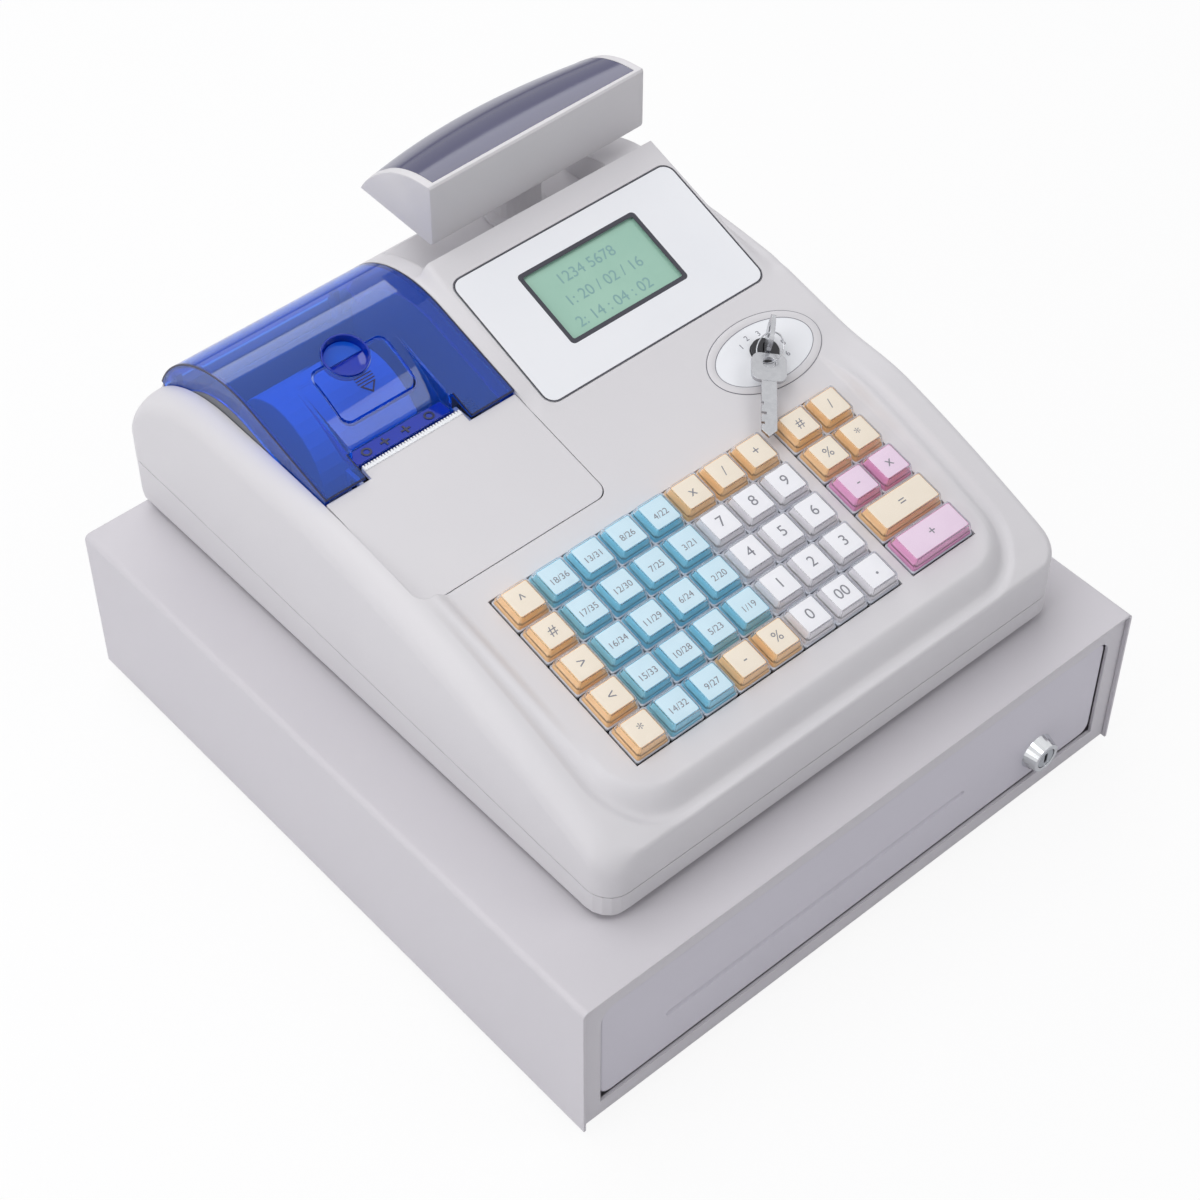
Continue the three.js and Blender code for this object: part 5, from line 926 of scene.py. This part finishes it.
def hood_edges():
    """Painted shade on the hood's cut edges: thin dark lines along its sides and legs, where the clear sheet
    seen edgewise looks dark.
    """
    side = np.vstack([hood_line(-PROUD), hood_line(EDGE_DEPTH)[::-1]])
    shapes = [
        along_x(side, HOOD_LEFT - PROUD, HOOD_LEFT + EDGE_WIDTH),
        along_x(side, HOOD_RIGHT - EDGE_WIDTH, HOOD_RIGHT + PROUD),
    ]
    for x0, x1, rear in (
        (HOOD_LEFT, NOTCH_LEFT, HOOD_FRONT + EDGE_WIDTH),
        (NOTCH_RIGHT, HOOD_RIGHT, HOOD_FRONT + EDGE_WIDTH),
        (NOTCH_LEFT - EDGE_WIDTH, NOTCH_LEFT + PROUD, NOTCH_REAR),
        (NOTCH_RIGHT - PROUD, NOTCH_RIGHT + EDGE_WIDTH, NOTCH_REAR),
    ):
        y = np.array([HOOD_FRONT + PROUD, rear])
        top = np.c_[y, hood_height(y) + PROUD]
        shapes.append(along_x(np.vstack([top, (top - (0, EDGE_DEPTH))[::-1]]), x0, x1))
    finish_piece("hood_edge_shade_lines", merge(*shapes), navy_marks_and_edge_shade, "hood", register_frame, weld=False)


def tear_bar_ribs():
    """White ribbed strip along the tear bar: a thin bar with a rib behind every tooth."""
    pitch, half_rib = TEAR_WIDTH / TEAR_TEETH, 0.4
    tip = (TEAR_TIP - KEY_EDGE_Y) / math.cos(DECK_TILT)
    shapes = [box(TEAR_LEFT, TEAR_LEFT + TEAR_WIDTH, tip - 3.0, tip - 1.25, -0.1, 0.22)]
    rib = box(-half_rib, half_rib, tip - 2.9, tip - 0.45, -0.1, 0.5)
    shapes += [moved(rib, (TEAR_LEFT + (i + 0.5) * pitch, 0, 0)) for i in range(TEAR_TEETH)]
    finish_piece("tear_bar_ribs", merge(*shapes), white_abs, "root", deck_frame, weld=False)


def printer_hood():
    """Clear hood: bent sheet with skirts, a ramp sunk between side walls, and its finger bowl."""
    top = np.vstack([hood_line(0), hood_line(HOOD_WALL)[::-1]])
    skirt = np.vstack([hood_line(0), hood_line(SKIRT)[::-1]])
    register, glass, low = register_frame, "blue_clear", BLOCK_LOW
    hood = finish_piece(
        "printer_hood_clear", along_x(top, HOOD_LEFT, HOOD_RIGHT), blue_clear, "hood", register,
        "printer_hood",
    )
    joins = [
        along_x(skirt, HOOD_LEFT, HOOD_LEFT + HOOD_WALL), along_x(skirt, HOOD_RIGHT - HOOD_WALL, HOOD_RIGHT),
    ]
    carve(hood, [(shape, register) for shape in joins], "UNION")
    # Opening for the ramp, then the ramp and its two side walls
    carve(hood, [
        (box(RAMP_LEFT, RAMP_RIGHT, BLOCK_FRONT, RAMP_REAR - 2, low, BLOCK_TOP), register),
        (box(NOTCH_LEFT, NOTCH_RIGHT, BLOCK_FRONT, NOTCH_REAR, low, BLOCK_TOP), register),
    ])
    y = np.linspace(NOTCH_REAR, RAMP_REAR - 2, 16)
    wall = np.vstack([np.c_[y, hood_height(y)], np.c_[y, ramp_height(y) - HOOD_WALL][::-1]])
    parts = [
        along_x(ramp_sheet(LEDGE_FRONT, RAMP_REAR - 1), RAMP_LEFT - 0.5, RAMP_RIGHT + 0.5),
        along_x(wall, RAMP_LEFT - RAMP_WALL, RAMP_LEFT),
        along_x(wall, RAMP_RIGHT, RAMP_RIGHT + RAMP_WALL),
    ]
    carve(hood, [(shape, register) for shape in parts], "UNION")
    left, right, front, rear = LATCH
    gap = LATCH_GAP
    slot = slab(left - gap, right + gap, front - gap, rear + gap, low, SLOT_TOP, LATCH_CORNER + 0.6)
    middle = Matrix.Translation(((left + right) / 2, rear, hood_height(rear).item()))
    seat = register @ middle @ turn_x(HOOD_SLOPE)
    hole = revolve([(0, -9), (BOWL_RADIUS + 0.2, -9), (BOWL_RADIUS + 0.2, 9), (0, 9)])
    carve(hood, [(slot, register), (hole, seat)])
    # The step fills the front half of the bowl; the bowl is painted shade in a deeper blue, the step painted
    # light in a lighter blue
    bowl, step = (
        revolve([(share * BOWL_RADIUS, z) for share, z in rows], BOWL_SIDES)
        for rows in (BOWL_ROWS, STEP_ROWS)
    )
    finish_piece("finger_bowl", bowl, blue_painted_shade, "hood", seat, None)
    behind = finish_piece("finger_bowl_step", step, blue_painted_light, "hood", seat, None)
    carve(behind, [(box(-20, 20, 0, 20, -20, 20), seat)], "INTERSECT")
    latch = finish_piece(
        "hood_latch_clear", along_x(ramp_sheet(front, rear), left, right), blue_clear, "latch",
        register, "hood_latch",
    )
    carve(latch, [(slab(left, right, front, rear, low, SLOT_TOP, LATCH_CORNER), register)], "INTERSECT")
    carve(latch, [(hole, seat)])
    latch_marks(left, right, front, rear)


# Painted shade and painted light in the same blue plastic: a much deeper blue copy for the ledge over the
# dark gap and for the finger bowl, a lighter copy for the bowl's lit step
blue_painted_shade = clear_plastic("blue_polycarbonate_painted_shade", "#0b3bc0", 0.05, 0.45, 1.5, 0.3)
blue_painted_light = clear_plastic("blue_polycarbonate_painted_light", "#1566dc", 0.12, 0.4, 1.45, 0.3)
# Marks pressed into the blue plastic read as dark navy; the same navy paints the shade on the hood's cut
# edges
navy_marks_and_edge_shade = surface("pressed_marks_and_painted_edge_shade", ("#0a1238", "#0f1a48"), (0.3, 0.4), 4, 0.2, 0.002, 0.02)
# White ABS of the tear bar's ribs: satin
white_abs = surface("moulded_white_abs", ("#eceef2", "#f2f3f6"), (0.4, 0.48), 12, 0.5, 0.005, 0.1)
printer_hood()
hood_edges()
ledge_marks()
tear_bar_ribs()

# Operator display, customer display and mode switch
# White polyester film, screen printed: smooth, with a soft gloss
white_film = surface("screen_printed_white_film", ("#ebedf2", "#f1f2f6"), (0.28, 0.34), 40, 0.3, 0.01, 0.15)
# Reflective liquid crystal glass: pale green, slightly cloudy, glossy
lcd_glass = surface("reflective_lcd_glass", ("#93bfae", "#a9cfbd"), (0.1, 0.14), 30, 0.6, 0.01, 0.1)
# Smoked acrylic: nearly black navy with a hard gloss
smoked_acrylic = surface("moulded_smoked_acrylic", ("#32325a", "#393962"), (0.1, 0.16), 25, 0.4, 0.01, 0.2)
lcd_ink = surface("lcd_segment_ink", ("#7fa6a6", "#86adac"), (0.3, 0.4), 5, 0.3, 0.002, 0.02)


# Places across the display panel: dark outline, bezel round the glass; heights of thin prints
OUTLINE_WIDE, BEZEL_OUT, BEZEL_IN, OUTLINE_TOP, BEZEL_TOP, FILM_TOP = 0.7, 1.2, 1, 0.13, 0.14, 0.1
OUTLINE_CORNER, LCD_CORNER, BEZEL_CORNERS = 5.4, 1.5, (2.2, 1)
GLASS_RIM, GLASS_LOW, GLASS_TOP, DIGIT_SIZE, DIGIT_LIFT = 2.5, -4.5, -1.5, 8, -1.44


def spread_ring(sides, grow, radius):
    """Rounded rectangle outline (x0, x1, y0, y1), each side moved out by grow."""
    x0, x1, y0, y1 = sides
    ring = rounded_ring((x1 - x0) / 2 + grow, (y1 - y0) / 2 + grow, radius, 6)
    return ring + ((x0 + x1) / 2, (y0 + y1) / 2)


def operator_display():
    """White film panel with a window, a dark bezel round it and the module's glass behind."""
    outer, inner = spread_ring(WINDOW, 0, FILM_CORNER), spread_ring(LCD, 0, LCD_CORNER)
    film = ring_plate(outer, inner, -FILM_DEEP, FILM_TOP)
    finish_piece(
        "display_film_panel", film, white_film, "root", brow_frame, "display_window",
        sharp=25,
    )
    rim = ring_plate(outer, spread_ring(WINDOW, -OUTLINE_WIDE, OUTLINE_CORNER), 0.0, OUTLINE_TOP)
    finish_piece("display_film_outline", rim, dark_ink, "root", brow_frame)
    outer, inner = (
        spread_ring(LCD, *sides) for sides in zip((BEZEL_OUT, -BEZEL_IN), BEZEL_CORNERS)
    )
    bezel = ring_plate(outer, inner, 0.0, BEZEL_TOP)
    finish_piece("display_dark_bezel", bezel, dark_ink, "root", brow_frame)
    left, right, front, rear = LCD
    rim = GLASS_RIM
    glass = box(left - rim, right + rim, front - rim, rear + rim, GLASS_LOW, GLASS_TOP)
    finish_piece("display_glass", glass, lcd_glass, "root", brow_frame, "lcd_module")
    middle, low, high = (left + right) / 2, front + 7, rear - 10
    for name, text, x, y in (
        ("top", "1234 5678", middle - 2, high), ("middle", "1: 20 / 02 / 16", middle, (low + high) / 2),
        ("low", "2: 14 : 04 : 02", middle - 3, low),
    ):
        marking(f"display_digits_{name}", text, DIGIT_SIZE, x, y, DIGIT_LIFT, lcd_ink, "root", brow_frame)


POD_TURN = math.radians(1.25)


def pod_frame():
    """Swivelling display's own frame: mast place, turned a little about the upright."""
    turn = Matrix.Rotation(POD_TURN, 4, "Z")
    return register_frame @ Matrix.Translation((*MAST_AT, 0)) @ turn


POD_WIDTH, POD_FRONT, POD_DEEP, POD_LOW, POD_TALL, POD_BOW = 129.0, -17.5, 51, 121.0, 33.0, 8.0
# Slanted and rounded back of the wedge, as shares of its depth and height
WEDGE_SHARES = np.array([(1, 0.1), (0.9, 0.32), (0.76, 0.54), (0.53, 0.8), (0.27, 0.95), (0, 1)])
# Window in that back: half width, share of the curve left over, depth of its seat, thickness
WINDOW_SIDE, WINDOW_SHARE, WINDOW_DEEP, WINDOW_THICK = 60.6, 0.05, 1.7, 1.5


def wedge_curve(x, shares):
    """Back curve of the wedge and its outward normals: y = yf + s (d + b (1 - (2x / w)^2))."""
    curve = catmull_rom(WEDGE_SHARES, 201)
    deep = POD_DEEP + POD_BOW * (1 - (2 * x / POD_WIDTH) ** 2)
    fine = curve * (deep, POD_TALL) + (POD_FRONT, POD_LOW)
    slope = np.gradient(fine, axis=0)
    normal = np.c_[slope[:, 1], -slope[:, 0]]
    normal /= np.linalg.norm(normal, axis=1, keepdims=True)
    at = np.linspace(0, 1, len(fine))

    def pick(values):
        return np.c_[np.interp(shares, at, values[:, 0]), np.interp(shares, at, values[:, 1])]

    return pick(fine), pick(normal)


def pod_housing():
    """Wedge housing: cross profiles along X, sunk where the window lies, shrunk at the rounded ends."""
    side, share, end = WINDOW_SIDE, WINDOW_SHARE, POD_WIDTH / 2
    ends = np.array([(end, 0.8), (end - 0.2, 0.25), (end - 0.8, 0), (side, 0)])
    x = np.concatenate([-ends[:, 0], np.linspace(-side, side, 41), ends[::-1, 0]])
    shrink = np.concatenate([ends[:, 1], np.zeros(41), ends[::-1, 1]])
    sunk = np.concatenate([np.zeros(4), np.ones(41), np.zeros(4)])
    shares = np.concatenate([[0, share * 0.5, share], np.linspace(share, 1 - share, 26), [1 - share, 1]])
    deep = np.concatenate([[0, 0, 0], np.ones(26), [0, 0]])
    corner = np.array([(0, POD_TALL - 1), (0, 2), (0.5, 0.7), (2, 0)]) + (POD_FRONT, POD_LOW)
    sections = []
    for place, less, low in zip(x, shrink, sunk):
        curve, normal = wedge_curve(place, shares)
        curve = curve - normal * (deep * low * WINDOW_DEEP)[:, None]
        curve[-1] += (0.7, 0)
        points = np.vstack([curve, corner])
        away = points - points.mean(axis=0)
        points = points - away * less / np.linalg.norm(away, axis=1, keepdims=True)
        sections.append(section(place, points))
    finish_piece(
        "customer_display_housing", stack(sections), case_abs, "customer_display", pod_frame(),
        "pod_housing", sharp=30,
    )


def pod_window():
    """Dark window that fills the housing's recess, a hair below the rim."""
    side, share = WINDOW_SIDE - 0.15, WINDOW_SHARE + 0.003
    shares = np.linspace(share, 1 - share, 30)
    sections = []
    for place in np.linspace(-side, side, 41):
        curve, normal = wedge_curve(place, shares)
        below = (curve - normal * WINDOW_THICK)[::-1]
        sections.append(section(place, np.vstack([curve - normal * 0.12, below])))
    finish_piece(
        "customer_display_window", stack(sections), smoked_acrylic, "customer_display", pod_frame(),
        "pod_window", sharp=30,
    )


# Oval plate: half sizes, then how far in and how high the rim's profile runs
OVAL_X, OVAL_Y, FILM_IN, LINE_WIDE = 31, 19.5, 4.1, 0.35
OVAL_RIM = ((0, -0.9), (0, 0.1), (0.5, 0.3), (3.6, 0.3), (4.1, 0.05), (4.1, -0.9), (0, -0.9))
MODE_DEGREES, MODE_REACH, MODE_SIZE = (130, 100, 65, 35, -5, -40), (11, 10.4), 4


def mode_switch():
    """Oval plate: a grey moulded rim with a groove on each side, white film inside, position marks."""
    rings = [ring_at(mode_ring(OVAL_X - inset, OVAL_Y - inset), z) for inset, z in OVAL_RIM]
    rim = np.concatenate(rings), grid_faces(len(rings), len(rings[0]))
    finish_piece("mode_plate_rim", rim, case_abs, "root", deck_frame, "mode_plate")
    film = ring_plate(
        mode_ring(OVAL_X - FILM_IN, OVAL_Y - FILM_IN), mode_ring(LOCK_BORE, LOCK_BORE), -0.85, 0.12,
    )
    finish_piece("mode_plate_film", film, white_film, "root", deck_frame, "mode_plate")
    for name, half_x, half_y, high in (("outer", 31.2, 19.7, 0.12), ("inner", 27.2, 15.7, 0.2)):
        inner = mode_ring(half_x - LINE_WIDE, half_y - LINE_WIDE)
        line = ring_plate(mode_ring(half_x, half_y), inner, -0.2, high)
        finish_piece(f"mode_plate_line_{name}", line, grey_ink, "root", deck_frame)
    for number, degrees in enumerate(MODE_DEGREES, 1):
        angle = math.radians(degrees)
        x, y = MODE_AT[0] + MODE_REACH[0] * math.cos(angle), MODE_AT[1] + MODE_REACH[1] * math.sin(angle)
        marking(f"mode_mark_{number}", str(number), MODE_SIZE, x, y, 0.15, grey_ink, "root", deck_frame)


operator_display()
pod_housing()
pod_window()
mode_switch()

# Drawer front: its sides and corner, face and back, edge; then the pressed line's place and size
PAN, PAN_CORNER = (-153.1, 153.1, 16.9, 80.8), 6
PAN_FACE, PAN_BACK, PAN_BEND, PAN_WALL, PAN_SHEET = -175.7, -165.0, 1.4, 1.6, 2.6
LINE = (-25.5, 42.7)
LINE_HALF = 89.0
# Half height of the line's outline at each depth behind the face
LINE_ROWS = ((0.4, 2.1), (1.7, 0), (2.3, -1))


def upright_ring(half_x, half_z, radius, middle, y):
    """Rounded rectangle standing upright about a middle (x, z), at a depth."""
    ring = rounded_ring(half_x, half_z, radius) + middle
    return np.c_[ring[:, 0], np.full(len(ring), y), ring[:, 1]]


def pan_ring(inset, y):
    """Outline of the drawer front at a depth, drawn in smaller by an inset."""
    left, right, low, high = PAN
    return upright_ring(
        (right - left) / 2 - inset, (high - low) / 2 - inset, PAN_CORNER - min(inset, 3),
        ((left + right) / 2, (low + high) / 2), y,
    )


def drawer_pan():
    """Folded front of the drawer: open behind, rounded edges, a soft pressed line across it."""
    bend = [
        (PAN_BEND * (1 - math.cos(a)), PAN_FACE + PAN_BEND * (1 - math.sin(a)))
        for a in np.linspace(0, math.pi / 2, 6)
    ]
    rows = [(PAN_WALL, PAN_FACE + PAN_SHEET), (PAN_WALL, PAN_BACK), (0, PAN_BACK), *bend]
    pan = finish_piece(
        "drawer_front_pan", stack([pan_ring(*row) for row in rows]), drawer_paint, "drawer",
        Matrix(), "drawer_front",
    )
    rings = [
        upright_ring(LINE_HALF + half, half, half * 0.95, LINE, PAN_FACE + deep)
        for half, deep in LINE_ROWS
    ]
    carve(pan, [(stack(rings), Matrix())])


drawer_pan()

# Charcoal ABS inside the printer: satin, lighter than the lock's black
grey_abs = surface("moulded_charcoal_abs", ("#66686f", "#74767d"), (0.4, 0.5), 25, 0.5, 0.006, 0.4)
# Light grey acetal of the print mechanism: satin, seen blue through the hood
light_acetal = surface("moulded_light_acetal", ("#b4b7bf", "#c2c5cc"), (0.35, 0.45), 18, 0.5, 0.006, 0.4)
# Nickel plated key blanks: greyer than chrome, softened by wear
nickel = metal("nickel_plated_brass", ("#b3b4b8", "#c5c6ca"), (0.18, 0.28), 3, 0.3, 0.006, 0.3)
# Finishes of the CAD nodes that stay
for finish, names in (
    (powder_coat, ("cabinet_cover", "cabinet_chassis")), (drawer_paint, ("drawer_tray",)),
    (case_abs, ("register_base", "printer_panel", "pod_mast")),
    (zinc_plate, ("rail_left", "rail_right", "latch_solenoid", "latch_hook", "drawer_lock_barrel")),
    (chromed, ("drawer_lock_housing",)), (nickel, ("mode_key", "spare_key", "key_ring")),
    (spring_wire, ("eject_spring", *(f"bill_clip_{number}" for number in (1, 2, 3, 4)))),
    (till_styrene, ("till_insert",)), (black_abs, ("mode_lock_barrel",)), (grey_abs, ("printer_tub",)),
    (light_acetal, ("printer_mechanism",)), (platen_rubber, ("platen_roller",)),
    (roll_paper, ("paper_roll",)),
    (foot_rubber, [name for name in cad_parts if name.startswith("foot_")]),
):
    dress(finish, *names)
